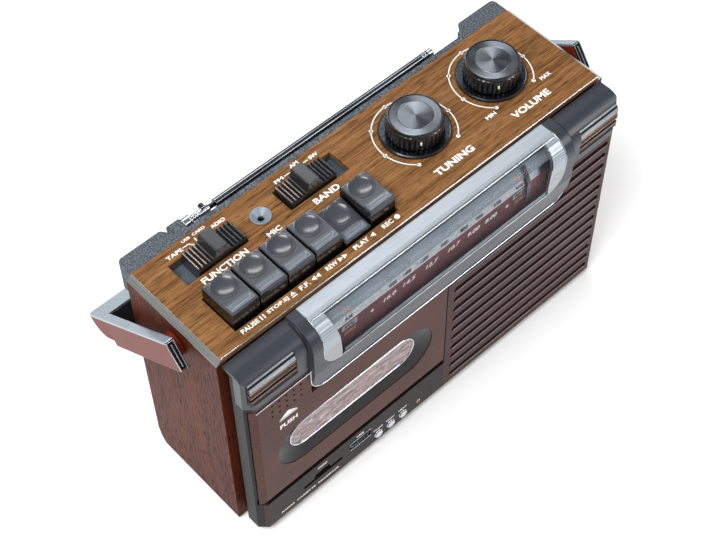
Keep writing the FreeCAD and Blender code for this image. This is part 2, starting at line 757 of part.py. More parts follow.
usb_tongue = box("usb_tongue", (usb_x[0] + 2, usb_x[1] - 2), (face + 1.6, face + 14.2),
                 (usb_z[0] + 3, usb_z[0] + 4.8))
card_case = cut("card_case",
                box("card_shell", (card_x[0] - 1, card_x[1] + 1), (face + wall, face + 18),
                    (card_z[0] - 1, card_z[1] + 1)),
                box("card_cavity", (card_x[0] + 0.6, card_x[1] - 0.6), (face, face + 16.8),
                    (card_z[0] + 0.1, card_z[1] - 0.1)))
node("media_sockets", group("socket_set", join("usb_socket", usb_shell, usb_tongue), card_case))

# --- tape deck ---------------------------------------------------------------------------------

deck_front = pocket_back + 2.2
deck_back = deck_front + s.deck_plate
reel_z = pane_z + s.reel_rise
capstan_x = door_x + 28
roller_radius = 6.2
roller_z = reel_z + 27.5
capstan_radius = 1.2
capstan_z = roller_z - roller_radius - capstan_radius - 0.3
reels = (("reel_supply", door_x - s.reel_spacing / 2), ("reel_takeup", door_x + s.reel_spacing / 2))
reel_holes = [("circle", x, reel_z, 1.5 + s.running_gap) for name, x in reels]
node("deck_chassis", slab("chassis", "Y", deck_front, deck_back,
                          rectangle((wall - neck_half, s.door_right + 8), (door_low + 2, split)),
                          ("circle", capstan_x, capstan_z, capstan_radius + s.running_gap), *reel_holes))
for name, x in reels:
    node(name, turned(name + "_spindle", (x, deck_back + 1.5, reel_z), "-Y", [
        (0, 0), (1.5, 0), (1.5, 4.5), (4.6, 4.5), (4.6, 7.5), (3.2, 9), (3.2, 11.8), (1.4, 13.4), (0, 13.4)]))
wheel_y = deck_back + 2.2
node("flywheel", turned("capstan_wheel", (capstan_x, wheel_y + 5, capstan_z), "-Y", [
    (0, 0), (s.flywheel_radius, 0), (s.flywheel_radius, 5), (capstan_radius, 5), (capstan_radius, 19),
    (0, 19)]))

head_y = deck_front - 2.2
head_z = reel_z + 33.5
head_plate = slab("head_bar", "Y", head_y, head_y + 1.4,
                  rectangle((door_x - 36, door_x + 36), (head_z, head_z + 17)))
pinch_arm = slab("pinch_arm", "Y", head_y, head_y + 1.4,
                 ("band", (capstan_x, roller_z, 3), (capstan_x, head_z + 6, 3)))
pinch_pin = rod("pinch_pin", (capstan_x, head_y - 7.6, roller_z), "Y", 1.0, 8)
play_head = box("play_head", (door_x - 6, door_x + 6), (head_y - 8.4, head_y), (head_z - 5, head_z + 6))
erase_head = box("erase_head", (door_x - 19, door_x - 13), (head_y - 7.6, head_y), (head_z - 4, head_z + 5))
node("head_plate", join("head_slide", head_plate, pinch_arm, pinch_pin, play_head, erase_head))
node("pinch_roller", turned("roller", (capstan_x, head_y - 0.4, roller_z), "-Y", [
    (1.0 + s.running_gap, 0), (roller_radius, 0), (roller_radius, 6.6), (1.0 + s.running_gap, 6.6)]))

motor_at = (door_x - 34, reel_z + 28.5)
motor_y = wheel_y + 6.5
node("deck_motor", rod("motor_can", (motor_at[0], motor_y, motor_at[1]), "Y", s.motor_radius, 20))
node("motor_pulley", join("pulley",
    rod("pulley_wheel", (motor_at[0], wheel_y, motor_at[1]), "Y", s.pulley_radius, 4.5),
                          rod("pulley_shaft", (motor_at[0], wheel_y, motor_at[1]), "Y", 1.0, 6.4)))
belt_gap = 0.25
belt_inner = ((motor_at[0], motor_at[1], s.pulley_radius + belt_gap),
              (capstan_x, capstan_z, s.flywheel_radius + belt_gap))
belt_outer = [(x, z, r + s.belt_thickness) for x, z, r in belt_inner]
node("drive_belt", slab("belt", "Y", wheel_y + 1, wheel_y + 3.4,
    ("band", *belt_outer), ("band", *belt_inner)))

# --- piano keys --------------------------------------------------------------------------------

axle_y = back - s.key_axle_in
axle_z = top - s.key_axle_drop
cap_front = keys_front - axle_y
cap_back = keys_back - axle_y
cap_top = s.key_axle_drop + s.key_rise
cap_low = s.key_axle_drop - 8
arm_high = -6.0
arm_low = -12.0
hub_radius = s.key_axle_radius + 0.7
key_width = s.key_pitch - s.key_gap
key_names = ("key_pause", "key_stop", "key_forward", "key_rewind", "key_play", "key_record")
for place_in_row, name in enumerate(key_names):
    cap = slab(name + "_cap", "X", 0, key_width, [
        (cap_front, cap_low), (cap_back, cap_low), (cap_back, cap_top, 1), (cap_front, cap_top, 1.6)])
    middle = key_width / 2
    stem = box(name + "_stem", (middle - 3, middle + 3), (cap_front + 4, cap_back - 3), (arm_high, cap_low))
    arm = box(name + "_arm", (middle - 3, middle + 3), (cap_front + 4, hub_radius), (arm_low, arm_high))
    riser = box(name + "_riser", (middle - 3, middle + 3), (-hub_radius, hub_radius), (arm_high, 0))
    hub = rod(name + "_hub", (middle - 3, 0, 0), "X", hub_radius, 6)
    bore = rod(name + "_bore", (middle - 4, 0, 0), "X", s.key_axle_radius + s.running_gap, 8)
    key = cut(name + "_lever", join(name + "_solid", cap, stem, arm, riser, hub), bore)
    pressed = s.key_travel.number if name == "key_play" else 0
    place(key, (keys_start + s.key_pitch * place_in_row, axle_y, axle_z),
          FreeCAD.Rotation(FreeCAD.Vector(1, 0, 0), pressed))
    node(name, key)
axle_start = keys_start - 3
axle_end = keys_end + 3
hangers = [cut(f"hanger_{side}", box(f"hanger_plate_{side}", (x - 1.5, x + 1.5), (axle_y - 3.5, axle_y + 2.1),
                                     (axle_z - 4, board_top)),
               rod(f"hanger_hole_{side}", (x - 2, axle_y, axle_z), "X", s.key_axle_radius, 4))
           for side, x in (("left", axle_start), ("right", axle_end))]
key_axle = rod("key_axle", (axle_start - 1.5, axle_y, axle_z), "X", s.key_axle_radius,
    axle_end - axle_start + 3)
door_pins = [rod("door_pin_left", pin_left, "X", s.door_pin_radius, pin_length_left),
             rod("door_pin_right", pin_right, "X", s.door_pin_radius, pin_length_right)]
handle_pins = [rod(f"handle_pin_{side}", (x, pivot_y, pivot_z), "X", s.handle_pin_radius, 11)
               for side, x in (("left", -inside - 11 - s.side_board / 3),
                               ("right", inside + s.side_board / 3))]
node("pivot_pins", group("pin_set", join("axle_and_hangers", key_axle, *hangers), *door_pins, *handle_pins))

# --- slide switches, microphone jack and knobs --------------------------------------------------

trays = []
for name, centre, rest in (("function_slider", s.function_centre, 1), ("band_slider", s.band_centre, -1)):
    x = (-centre - s.switch_length / 2, -centre + s.switch_length / 2)
    y = (switch_y - s.switch_width / 2, switch_y + s.switch_width / 2)
    floor_z = top - s.switch_depth
    trays.append(cut(name + "_tray",
                     box(name + "_tray_block", (x[0] - 0.8, x[1] + 0.8), (y[0] - 0.8, y[1] + 0.8),
                         (floor_z - 0.8, board_top)),
                     box(name + "_tray_cavity", x, y, (floor_z, top + 1))))
    start = x[1] - 1.2 - s.slider_length if rest > 0 else x[0] + 1.2
    block = box(name + "_block", (start, start + s.slider_length), (y[0] + 0.8, y[1] - 0.8),
                (floor_z + 0.2, top + s.slider_rise))
    middle = start + s.slider_length / 2
    nub = slab(name + "_nub", "Y", y[0] + 0.8, y[1] - 0.8, [
        (middle - 5, top + s.slider_rise), (middle - 3.4, top + s.slider_nub_rise, 0.8),
        (middle + 3.4, top + s.slider_nub_rise, 0.8), (middle + 5, top + s.slider_rise)])
    grooves = []
    for i in range(4):
        for side, first in (("left", start + 0.9), ("right", middle + 5.7)):
            grooves.append(box(f"{name}_groove_{side}_{i}", (first + i * 2.3, first + i * 2.3 + 1.3),
                               (y[0], y[1]), (top + s.slider_rise - 1.6, top + s.slider_rise + 1)))
    node(name, cut(name + "_knob", join(name + "_solid", block, nub), *grooves))
node("switch_trays", group("tray_pair", *trays))

node("mic_jack", turned("jack", (*jack_at, top), "Z", [
    (s.jack_bore, -14), (jack_body, -14), (jack_body, 0), (s.jack_radius, 0), (s.jack_radius, 0.6),
    (s.jack_radius - 0.6, 0.8), (s.jack_bore, -1.8)]))

ring_profile = [(bushing_radius + 0.4, 0), (s.knob_ring_radius, 0),
    (s.knob_ring_radius, s.knob_ring_height, 0.6),
                (bushing_radius + 0.4, s.knob_ring_height)]
controls, rings = [], []
for name, x in (("tuning", s.tuning_centre), ("volume", s.volume_centre)):
    rings.append(turned(name + "_ring", (x, knob_y, top), "Z", ring_profile))
    shaft_hole = s.shaft_radius + s.running_gap
    controls.append(turned(name + "_control", (x, knob_y, board_top), "Z", [
        (shaft_hole, -10), (9, -10), (9, 0), (bushing_radius, 0), (bushing_radius, s.top_board + 1.4),
        (shaft_hole, s.top_board + 1.4)]))
    spindle = rod(name + "_spindle", (x, knob_y, board_top - 14), "Z", s.shaft_radius, s.top_board + 14 + 9)
    under = s.knob_ring_height + 0.4
    knob = turned(name + "_knob_body", (x, knob_y, top), "Z", [
        (s.shaft_radius, under), (s.knob_radius, under), (s.knob_radius, s.knob_rise - 1.6, 1.0),
        (s.knob_cap_radius + 0.8, s.knob_rise), (0, s.knob_rise), (0, 9), (s.shaft_radius, 9)])
    if name == "tuning":
        drum = rod("drum", (x, knob_y, board_top - 20), "Z", s.drum_radius, 6)
        node("tuning_shaft", join("tuning_spindle_drum", spindle, drum))
        node("tuning_knob", knob)
    else:
        node("volume_knob", join("volume_knob_spindle", knob, spindle))
node("knob_rings", group("ring_pair", *rings))
node("rotary_controls", group("control_pair", *controls))

# --- loudspeaker and electrics ------------------------------------------------------------------

speaker_y = face + wall + 0.7
speaker_z = base + s.speaker_level
r = s.speaker_radius
d = s.speaker_depth
basket = turned("basket", (s.speaker_centre, speaker_y, speaker_z), "Y", [
    (r - 3, 0), (r, 0), (r, 2), (r - 4, 2), (20, d - 10), (20, d), (0, d), (0, d - 9),
    (18, d - 10.4), (r - 5, 1.2)])
cone = turned("cone", (s.speaker_centre, speaker_y, speaker_z), "Y", [
    (0, d - 12.5), (9, d - 12.5), (r - 6, 1.6), (r - 3.2, 0), (r - 3.2, 0.9), (r - 6.2, 2.4), (9.4, d - 11.6),
    (0, d - 11.6)])
node("speaker", group("speaker_set", basket, cone))
board_z = base + s.base_board
circuit_board = box("circuit_board", (10, 120), (speaker_y + d + 2, speaker_y + d + 3.6),
    (board_z, board_top - 25.6))
core = box("core", (80, 118), (-12, 16), (board_z, board_z + 32))
winding = box("winding", (86, 112), (-17, 21), (board_z + 6, board_z + 26))
node("electronics", group("board_and_transformer", circuit_board, join("transformer", core, winding)))

# --- rear half of the plastic case --------------------------------------------------------------

rear_half = half - s.rear_side_gap
rear_face = back + s.rear_depth
rear_plate = slab("rear_plate", "Y", back, rear_face, [
    (-rear_half, base + 1, 3), (rear_half, base + 1, 3), (rear_half, top - 0.6, 3),
    (-rear_half, top - 0.6, 3)])
rim_x = inside - gap
rim_low = base + s.base_board + gap
rim_high = board_top - gap
rear_rim = slab("rear_rim", "Y", back - 2.2, back + 1, rectangle((-rim_x, rim_x), (rim_low, rim_high)))
rear_hollow = slab("rear_hollow", "Y", back - 3, rear_face - 2.2, rectangle(
    (wall - rim_x, rim_x - wall), (rim_low + wall, rim_high - wall)))
shoulder_back = back + s.shoulder_depth
shoulder_low = top - s.shoulder_height
shoulder_end = rear_half - s.shoulder_length
shoulders, shoulder_hollows = [], []
for side, way in (("left", -1), ("right", 1)):
    shoulders.append(slab(f"shoulder_{side}", "Z", shoulder_low, top - 0.3, [
        (rear_half * way, back), (rear_half * way, shoulder_back, 3),
        ((shoulder_end + 5.5) * way, shoulder_back, 2),
        (shoulder_end * way, rear_face), (shoulder_end * way, back)]))
    shoulder_hollows.append(slab(f"shoulder_hollow_{side}", "Z", shoulder_low + 2.2, rim_high - wall, [
        ((rim_x - wall) * way, back - 3), ((rim_x - wall) * way, shoulder_back - 2.2),
        ((shoulder_end + 7) * way, shoulder_back - 2.2), ((shoulder_end + 3) * way, back - 3)]))

bay_half = s.battery_width / 2
bay_low = base + s.battery_level - s.battery_height / 2 - 1
bay_high = bay_low + s.battery_height
bay_front = rear_face - s.battery_depth
bay_wall = slab("bay_wall", "Y", bay_front - 2, back + 2, rectangle(
    (-bay_half - 2, bay_half + 2), (bay_low - 2, bay_high + 2)))
bay_hollow = slab("bay_hollow", "Y", bay_front, rear_face + 1,
    rectangle((-bay_half, bay_half), (bay_low, bay_high)))
cover_hinge = (back + 2.4, bay_low + 1.5)
cover_bores = rod("cover_bores", (-bay_half - 1.3, *cover_hinge), "X", 0.8 + s.running_gap,
    s.battery_width + 2.6)

antenna_y = back + s.antenna_from_back
antenna_z = top - s.antenna_drop
stub_radius = 1.6
bracket_radius = s.antenna_drop - 0.4
bracket_end = -s.antenna_left
bracket = join("antenna_bracket",
               box("bracket_block", (bracket_end - 7, bracket_end), (back + 1, antenna_y),
                   (antenna_z - bracket_radius, antenna_z + bracket_radius)),
               rod("bracket_nose", (bracket_end - 7, antenna_y, antenna_z), "X", bracket_radius, 7))

inlet_x, inlet_z = 95.0, base + 16
inlet_body = ("band", (inlet_x - 5.6, inlet_z, 5.6), (inlet_x + 5.6, inlet_z, 5.6))
inlet_hole = slab("inlet_hole", "Y", back - 3, rear_face + 1, ("band", (inlet_x - 5.6, inlet_z, 5.6 + gap),
                                                             (inlet_x + 5.6, inlet_z, 5.6 + gap)))
antenna_channel = box("antenna_channel", (shoulder_end - 1, rear_half + 1),
                      (antenna_y - s.antenna_radius - 0.4, shoulder_back + 1),
                      (antenna_z - s.antenna_radius - 0.4, antenna_z + s.antenna_radius + 0.4))
rear_solid = join("rear_solid", rear_plate, rear_rim, *shoulders, bracket)
rear_shell = cut("rear_shell", rear_solid, rear_hollow, *shoulder_hollows)
node("rear_cabinet", cut("rear_case", join("rear_with_bay", rear_shell, bay_wall), bay_hollow, cover_bores,
                         inlet_hole, antenna_channel))

cover_gap = 0.3
cover_half = bay_half - cover_gap
cover_plate = slab("cover_plate", "X", -cover_half, cover_half, [
    (rear_face - s.battery_cover, bay_low + cover_gap, 1.1), (rear_face, bay_low + cover_gap, 1.1),
    (rear_face, bay_high - cover_gap), (rear_face - s.battery_cover, bay_high - cover_gap)])
cover_pins = rod("cover_pins", (-bay_half - 1, *cover_hinge), "X", 0.8, s.battery_width + 2)
node("battery_cover", join("cover", cover_plate, cover_pins))

inlet_cup = cut("inlet_cup", slab("inlet_block", "Y", back - 8, rear_face + 0.2, inlet_body),
                slab("inlet_cavity", "Y", back - 6, rear_face + 1, ("band", (inlet_x - 4.2, inlet_z, 4.2),
                                                                  (inlet_x + 4.2, inlet_z, 4.2))))
inlet_pins = [rod(f"inlet_pin_{side}", (inlet_x + 4.3 * way, back - 7, inlet_z), "Y", 1.2, 8)
              for side, way in (("left", -1), ("right", 1))]
node("mains_inlet", join("inlet", inlet_cup, *inlet_pins))

# --- telescopic antenna -------------------------------------------------------------------------

ferrule_end = bracket_end + 5.6
node("antenna_socket", cut("ferrule",
                           rod("ferrule_sleeve", (bracket_end, antenna_y, antenna_z), "X", 3.2, 5.6),
                           rod("ferrule_bore", (bracket_end - 1, antenna_y, antenna_z), "X",
                               stub_radius + s.running_gap, 8)))
hinge_x = -s.antenna_hinge
fork_end = hinge_x + 2.1
knuckle_rings = [rod(f"knuckle_ring_{i}", (ferrule_end + 1.4 + 1.5 * i, antenna_y, antenna_z), "X", 2.1, 1.0)
                 for i in range(3)]
fork = cut("fork",
           rod("fork_rod", (hinge_x - 3.8, antenna_y, antenna_z), "X", 2.1, 5.9),
           box("fork_slot", (hinge_x - 2.4, fork_end + 1), (antenna_y - 0.65, antenna_y + 0.65),
               (antenna_z - 3, antenna_z + 3)))
stub = rod("knuckle_stub", (bracket_end + 0.4, antenna_y, antenna_z), "X", stub_radius,
           hinge_x - 3 - bracket_end - 0.4)
hinge_pin = rod("antenna_pin", (hinge_x, antenna_y - 1.9, antenna_z), "Y", 0.7, 4.2)
pin_head = rod("antenna_pin_head", (hinge_x, antenna_y + 1.9, antenna_z), "Y", 1.3, 1.0)
node("antenna_knuckle", join("knuckle", stub, *knuckle_rings, fork, hinge_pin, pin_head))

outer_radius = s.antenna_radius
middle_radius = outer_radius - s.antenna_wall - s.running_gap
inner_radius = middle_radius - s.antenna_wall - s.running_gap
outer_start = hinge_x + 6
outer_end = s.antenna_right - 4
tongue = join("tongue_blank",
              box("tongue_bar", (hinge_x, outer_start + 1), (antenna_y - 0.55, antenna_y + 0.55),
                  (antenna_z - 1.8, antenna_z + 1.8)),
              rod("tongue_eye", (hinge_x, antenna_y - 0.55, antenna_z), "Y", 1.8, 1.1))
tube = rod("outer_tube", (outer_start, antenna_y, antenna_z), "X", outer_radius, outer_end - outer_start)
tube_bore = rod("outer_bore", (outer_start + 2, antenna_y, antenna_z), "X", middle_radius + s.running_gap,
                outer_end - outer_start)
eye_bore = rod("eye_bore", (hinge_x, antenna_y - 2, antenna_z), "Y", 0.7 + s.running_gap, 4)
node("antenna_tube_outer", cut("outer_section", join("outer_blank", tube, tongue), tube_bore, eye_bore))
middle_start = outer_start + 2.4
node("antenna_tube_middle", cut("middle_section",
                                rod("middle_tube", (middle_start, antenna_y, antenna_z), "X", middle_radius,
                                    outer_end - middle_start + 0.2),
                                rod("middle_bore", (middle_start + 2, antenna_y, antenna_z), "X",
                                    inner_radius + s.running_gap, outer_end - middle_start)))
inner_start = middle_start + 2.4
tip_start = outer_end + 0.5
node("antenna_tube_inner", join("inner_section",
                                rod("inner_rod", (inner_start, antenna_y, antenna_z), "X", inner_radius,
                                    tip_start - inner_start + 1),
                                turned("tip", (tip_start, antenna_y, antenna_z), "X", [
                                    (0, 0), (outer_radius, 0), (outer_radius, 3.5, 0.8), (0, 3.5)])))

# --- carrying handle, folded back ---------------------------------------------------------------

arm_outer = half + s.handle_side_gap + s.handle_arm
arm_inner = arm_outer - s.handle_arm
face_y = -s.handle_front
panel_y = face_y + 1.2
grip_low = s.handle_reach - s.handle_grip
insert_high = grip_low / 2
hub = half + 0.3
folded = FreeCAD.Rotation(FreeCAD.Vector(1, 0, 0), -s.handle_fold.number)
pivot = (0, pivot_y, pivot_z)
arms, arm_strips = [], []
for side, way in (("left", -1), ("right", 1)):
    near, far = (-arm_outer, -arm_inner) if way < 0 else (arm_inner, arm_outer)
    arm = slab(f"arm_{side}", "X", near, far, [
        (s.handle_back, -s.handle_tail, 2.5), (s.handle_back, grip_low), (panel_y, grip_low),
        (panel_y, insert_high), (face_y, insert_high), (face_y, -s.handle_tail, 1.5)])
    arm_hub = rod(f"arm_hub_{side}", (hub if way > 0 else -arm_inner - 1, 0, 0), "X", 7.0,
        arm_inner - hub + 1)
    arm_bore = rod(f"arm_bore_{side}", (hub - 1 if way > 0 else -arm_outer + 1.6, 0, 0), "X",
                   s.handle_pin_radius + s.running_gap, arm_outer - hub - 0.6)
    arms.append(cut(f"arm_with_bore_{side}", join(f"arm_with_hub_{side}", arm, arm_hub), arm_bore))
node("handle_arms", place(group("arm_pair", *arms), pivot, folded))
node("handle_grip", place(slab("grip", "X", -arm_outer, arm_outer, [
    (5, grip_low), (5, s.handle_reach, 10.5), (panel_y, s.handle_reach),
    (panel_y, grip_low)]), pivot, folded))
node("handle_trim", place(slab("trim_strip", "Y", face_y, panel_y, [
    (-arm_outer, insert_high), (-arm_inner, insert_high), (-arm_inner, grip_low), (arm_inner, grip_low),
    (arm_inner, insert_high), (arm_outer, insert_high), (arm_outer, s.handle_reach, 1.5),
    (-arm_outer, s.handle_reach, 1.5)]), pivot, folded))

# --- checks and files ---------------------------------------------------------------------------

doc.recompute()
for thing in doc.Objects:
    if {"Invalid", "Error"} & set(thing.State):
        raise RuntimeError(f"{thing.Label} is in state {thing.State}")
for name, thing in nodes.items():
    if thing.Shape.isNull() or not thing.Shape.isValid():
        raise RuntimeError(f"{name} has no valid shape")
os.makedirs("parts", exist_ok=True)
for name, thing in nodes.items():
    thing.Shape.exportStep(f"parts/{name}.step")
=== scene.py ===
import json
import math

import bmesh
import bpy
from mathutils import Matrix, Vector


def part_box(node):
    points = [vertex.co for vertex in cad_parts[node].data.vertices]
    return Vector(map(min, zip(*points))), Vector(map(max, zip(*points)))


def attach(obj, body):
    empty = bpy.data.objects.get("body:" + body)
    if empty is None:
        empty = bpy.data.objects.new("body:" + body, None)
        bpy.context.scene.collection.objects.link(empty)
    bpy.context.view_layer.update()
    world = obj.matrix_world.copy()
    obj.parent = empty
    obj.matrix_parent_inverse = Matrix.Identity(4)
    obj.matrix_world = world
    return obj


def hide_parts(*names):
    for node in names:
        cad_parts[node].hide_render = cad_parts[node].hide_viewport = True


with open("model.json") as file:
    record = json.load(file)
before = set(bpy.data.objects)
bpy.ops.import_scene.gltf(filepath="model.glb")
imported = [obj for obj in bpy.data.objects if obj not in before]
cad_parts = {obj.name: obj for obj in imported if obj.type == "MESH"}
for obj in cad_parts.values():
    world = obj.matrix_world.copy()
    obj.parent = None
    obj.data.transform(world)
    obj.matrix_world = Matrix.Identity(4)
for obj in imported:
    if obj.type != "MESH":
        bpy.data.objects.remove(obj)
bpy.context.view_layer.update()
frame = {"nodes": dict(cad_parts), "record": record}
mm = 0.001

# --- Wooden cabinet sides and base --------------------------------------------------------------
# Two side boards and a base board of chipboard, wrapped in a reddish brown printed walnut foil
# with upright grain. The foil is satin, with faint cloudiness and darker pores.


class Value:
    """The output of a shader node. Arithmetic on it adds Math nodes."""

    def __init__(self, finish, socket):
        self.finish = finish
        self.socket = socket

    def _math(self, operation, first, second):
        return self.finish.node("Math", {"operation": operation}, {0: first, 1: second})

    def __add__(self, other):
        return self._math("ADD", self, other)

    __radd__ = __add__

    def __sub__(self, other):
        return self._math("SUBTRACT", self, other)

    def __rsub__(self, other):
        return self._math("SUBTRACT", other, self)

    def __mul__(self, other):
        return self._math("MULTIPLY", self, other)

    __rmul__ = __mul__

    def __truediv__(self, other):
        return self._math("DIVIDE", self, other)

    def __rtruediv__(self, other):
        return self._math("DIVIDE", other, self)

    def __gt__(self, other):
        return self._math("GREATER_THAN", self, other)

    def __lt__(self, other):
        return self._math("LESS_THAN", self, other)


def paint(red, green, blue):
    """A display colour of 0 to 255 as the linear colour that a shader takes."""
    linear = [c / 3294.6 if c <= 10.3 else ((c / 255 + 0.055) / 1.055) ** 2.4 for c in (red, green, blue)]
    return (*linear, 1)


class Finish:
    """A material under way: one principled shader and what feeds it."""

    def __init__(self, name, **fixed):
        self.material = bpy.data.materials.new(name)
        self.material.use_nodes = True
        self.tree = self.material.node_tree
        self.shader = self.tree.nodes["Principled BSDF"]
        for socket, value in fixed.items():
            self.shader.inputs[socket.replace("_", " ")].default_value = value

    def node(self, kind, settings=None, sockets=None, out=0):
        made = self.tree.nodes.new("ShaderNode" + kind)
        for name, value in (settings or {}).items():
            if name != "stops":
                setattr(made, name, value)
                continue
            stops = made.color_ramp.elements
            for _ in value[2:]:
                stops.new(0.5)
            for stop, (position, colour) in zip(stops, value):
                stop.position = position
                stop.color = colour
        for name, value in (sockets or {}).items():
            if isinstance(value, Value):
                self.tree.links.new(value.socket, made.inputs[name])
            else:
                made.inputs[name].default_value = value
        return Value(self, made.outputs[out])

    def feed(self, **sockets):
        for name, value in sockets.items():
            self.tree.links.new(value.socket, self.shader.inputs[name.replace("_", " ")])
        return self.material

    def place(self):
        """Where a point is on its piece, in metres, in the frame of the whole object."""
        return self.node("TexCoord", out=3)

    def axes(self):
        """The three parts of that place as numbers."""
        parts = self.tree.nodes.new("ShaderNodeSeparateXYZ")
        self.tree.links.new(self.place().socket, parts.inputs[0])
        return [Value(self, parts.outputs[i]) for i in range(3)]

    def noise(self, stretch, detail=3.0, roughness=0.55, distortion=0.0):
        """Noise between 0 and 1 with so many features per metre along X, Y and Z."""
        spread = self.node("VectorMath", {"operation": "MULTIPLY"}, {0: self.place(), 1: stretch})
        return self.node("TexNoise", None, {"Vector": spread, "Scale": 1.0, "Detail": detail,
                                            "Roughness": roughness, "Distortion": distortion})

    def ramp(self, factor, *stops):
        """Colours or greys over a factor. A stop is (position, colour or grey)."""
        full = [(p, (c, c, c, 1) if isinstance(c, (int, float)) else c) for p, c in stops]
        return self.node("ValToRGB", {"stops": full}, {"Fac": factor})

    def mix(self, factor, first, second):
        return self.node("Mix", {"data_type": "RGBA"}, {0: factor, 6: first, 7: second}, out=2)

    def edges(self, radius):
        """The surface's normal, rounded over sharp edges as a moulded or folded edge is."""
        return self.node("Bevel", {"samples": 6}, {"Radius": radius})

    def bump(self, height, distance, strength=1.0, radius=0.0003):
        return self.node("Bump", None, {"Height": height, "Distance": distance, "Strength": strength,
                                        "Normal": self.edges(radius)})


def veneer(name, base, streak, pale, grain, pore, gloss):
    """Printed walnut foil. grain and pore are features per metre along X, Y and Z."""
    wood = Finish(name, Specular_IOR_Level=0.06)
    bands = wood.noise(grain, 5.0, 0.62, 0.35)
    clouds = wood.noise([g * 0.25 for g in grain], 2.0)
    pores = wood.noise(pore, 2.0, 0.5)
    colour = wood.mix(wood.ramp(bands, (0.30, 0.0), (0.68, 1.0)), streak, base)
    colour = wood.mix(wood.ramp(clouds, (0.42, 0.0), (0.75, 0.75)), colour, pale)
    open_pore = wood.ramp(pores, (0.53, 0.0), (0.64, 1.0))
    colour = wood.mix(open_pore * 0.72, colour, [c * 0.35 for c in streak[:3]] + [1])
    depth = (1 - open_pore) * 0.6 + bands * 0.4
    rough = gloss + bands * 0.12 + open_pore * 0.15
    return wood.feed(Base_Color=colour, Roughness=rough, Normal=wood.bump(depth, 0.00006, 0.6))


def dress(material, *nodes):
    """Gives CAD pieces their finish."""
    for name in nodes:
        for slot in frame["nodes"][name].material_slots:
            slot.material = material


side_foil = veneer("walnut_side", paint(94, 38, 20), paint(58, 22, 12), paint(102, 46, 25),
                   (420, 420, 16), (1700, 1700, 110), 0.36)
dress(side_foil, "side_panel_left", "side_panel_right")
base_foil = veneer("walnut_base", paint(74, 42, 32), paint(46, 26, 20), paint(86, 52, 40),
                   (9, 260, 260), (60, 1500, 1500), 0.5)
dress(base_foil, "base_board")

# --- Top panel ----------------------------------------------------------------------------------
# The same board with a lighter walnut foil, its grain along the cabinet, framed at both ends by
# polished aluminium strips that slope down to the sides, and by a thin bright line at the front.

top_foil = veneer("walnut_top", paint(142, 98, 58), paint(74, 48, 26), paint(146, 106, 68),
                  (30, 700, 700), (110, 2500, 2500), 0.4)
dress(top_foil, "top_panel")


def brushed(name, base, dark, stretch, rough=0.25, **fixed):
    """Metal with a fine brushed grain. stretch is features per metre along X, Y and Z."""
    metal = Finish(name, **{"Metallic": 1.0, **fixed})
    lines = metal.noise(stretch, 4.0, 0.7)
    smudge = metal.noise((35, 35, 35), 3.0)
    colour = metal.mix(metal.ramp(lines, (0.35, 0.0), (0.65, 1.0)), dark, base)
    roughness = rough + lines * 0.14 + smudge * 0.1 - 0.08
    return metal.feed(Base_Color=colour, Roughness=roughness, Normal=metal.bump(lines, 0.00001, 0.4))


strip_metal = brushed("strip_aluminium", paint(196, 198, 196), paint(160, 160, 158), (900, 12, 900), 0.3)
dress(strip_metal, "edge_strips")


def solid(name, vertices, faces, material, body, smooth=False):
    """A mesh piece that rides on a body, with its corners given in metres."""
    mesh = bpy.data.meshes.new(name)
    mesh.from_pydata([tuple(v) for v in vertices], [], faces)
    mesh.validate()
    shape = bmesh.new()
    shape.from_mesh(mesh)
    bmesh.ops.remove_doubles(shape, verts=shape.verts, dist=1e-7)
    bmesh.ops.recalc_face_normals(shape, faces=shape.faces)
    shape.to_mesh(mesh)
    shape.free()
    mesh.materials.append(material)
    piece = bpy.data.objects.new(name, mesh)
    bpy.context.scene.collection.objects.link(piece)
    for face in mesh.polygons:
        face.use_smooth = smooth
    if smooth:
        mesh.set_sharp_from_angle(angle=math.radians(35))
    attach(piece, body)
    return piece


def prism(outline, low, high):
    """Corners and faces of a flat outline (u, v) drawn out along the third axis."""
    count = len(outline)
    corners = [(u, v, low) for u, v in outline] + [(u, v, high) for u, v in outline]
    sides = [(i, (i + 1) % count, count + (i + 1) % count, count + i) for i in range(count)]
    return corners, [tuple(range(count))[::-1], tuple(range(count, 2 * count)), *sides]


def bead(name, path, radius, material, body, closed=False, flat=1.0, smooth=True):
    """A round or flattened bead that follows a path of points."""
    points = [Vector(p) for p in path]
    count = len(points)
    sides = 10
    vertices, faces = [], []
    for i, here in enumerate(points):
        before = points[i - 1] if closed or i else here
        after = points[(i + 1) % count] if closed or i < count - 1 else here
        along = (after - before).normalized()
        across = along.cross(Vector((0, 0, 1) if abs(along.z) < 0.9 else (0, 1, 0))).normalized()
        up = across.cross(along)
        for k in range(sides):
            turn = 2 * math.pi * k / sides
            vertices.append(here + across * radius * math.cos(turn) + up * radius * flat * math.sin(turn))
    rings = count if closed else count - 1
    for i in range(rings):
        for k in range(sides):
            a, b = i * sides + k, i * sides + (k + 1) % sides
            c, d = ((i + 1) % count) * sides + (k + 1) % sides, ((i + 1) % count) * sides + k
            faces.append((a, b, c, d))
    if not closed:
        faces += [tuple(range(sides)), tuple(range((count - 1) * sides, count * sides))[::-1]]
    return solid(name, vertices, faces, material, body, smooth)


top_low, top_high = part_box("top_panel")
top = top_high.z
chrome = brushed("chrome", paint(222, 226, 232), paint(190, 196, 204), (60, 60, 60), 0.12)
line_y, line_z = top_low.y + 0.0004, top + 0.0001
bead("top_front_line", [(top_low.x, line_y, line_z), (top_high.x, line_y, line_z)],
     0.00035, chrome, "cabinet")

# --- White legends on the top panel --------------------------------------------------------------
# Screen-printed words, dial arcs and tick lines: a white ink film that stands a little proud.

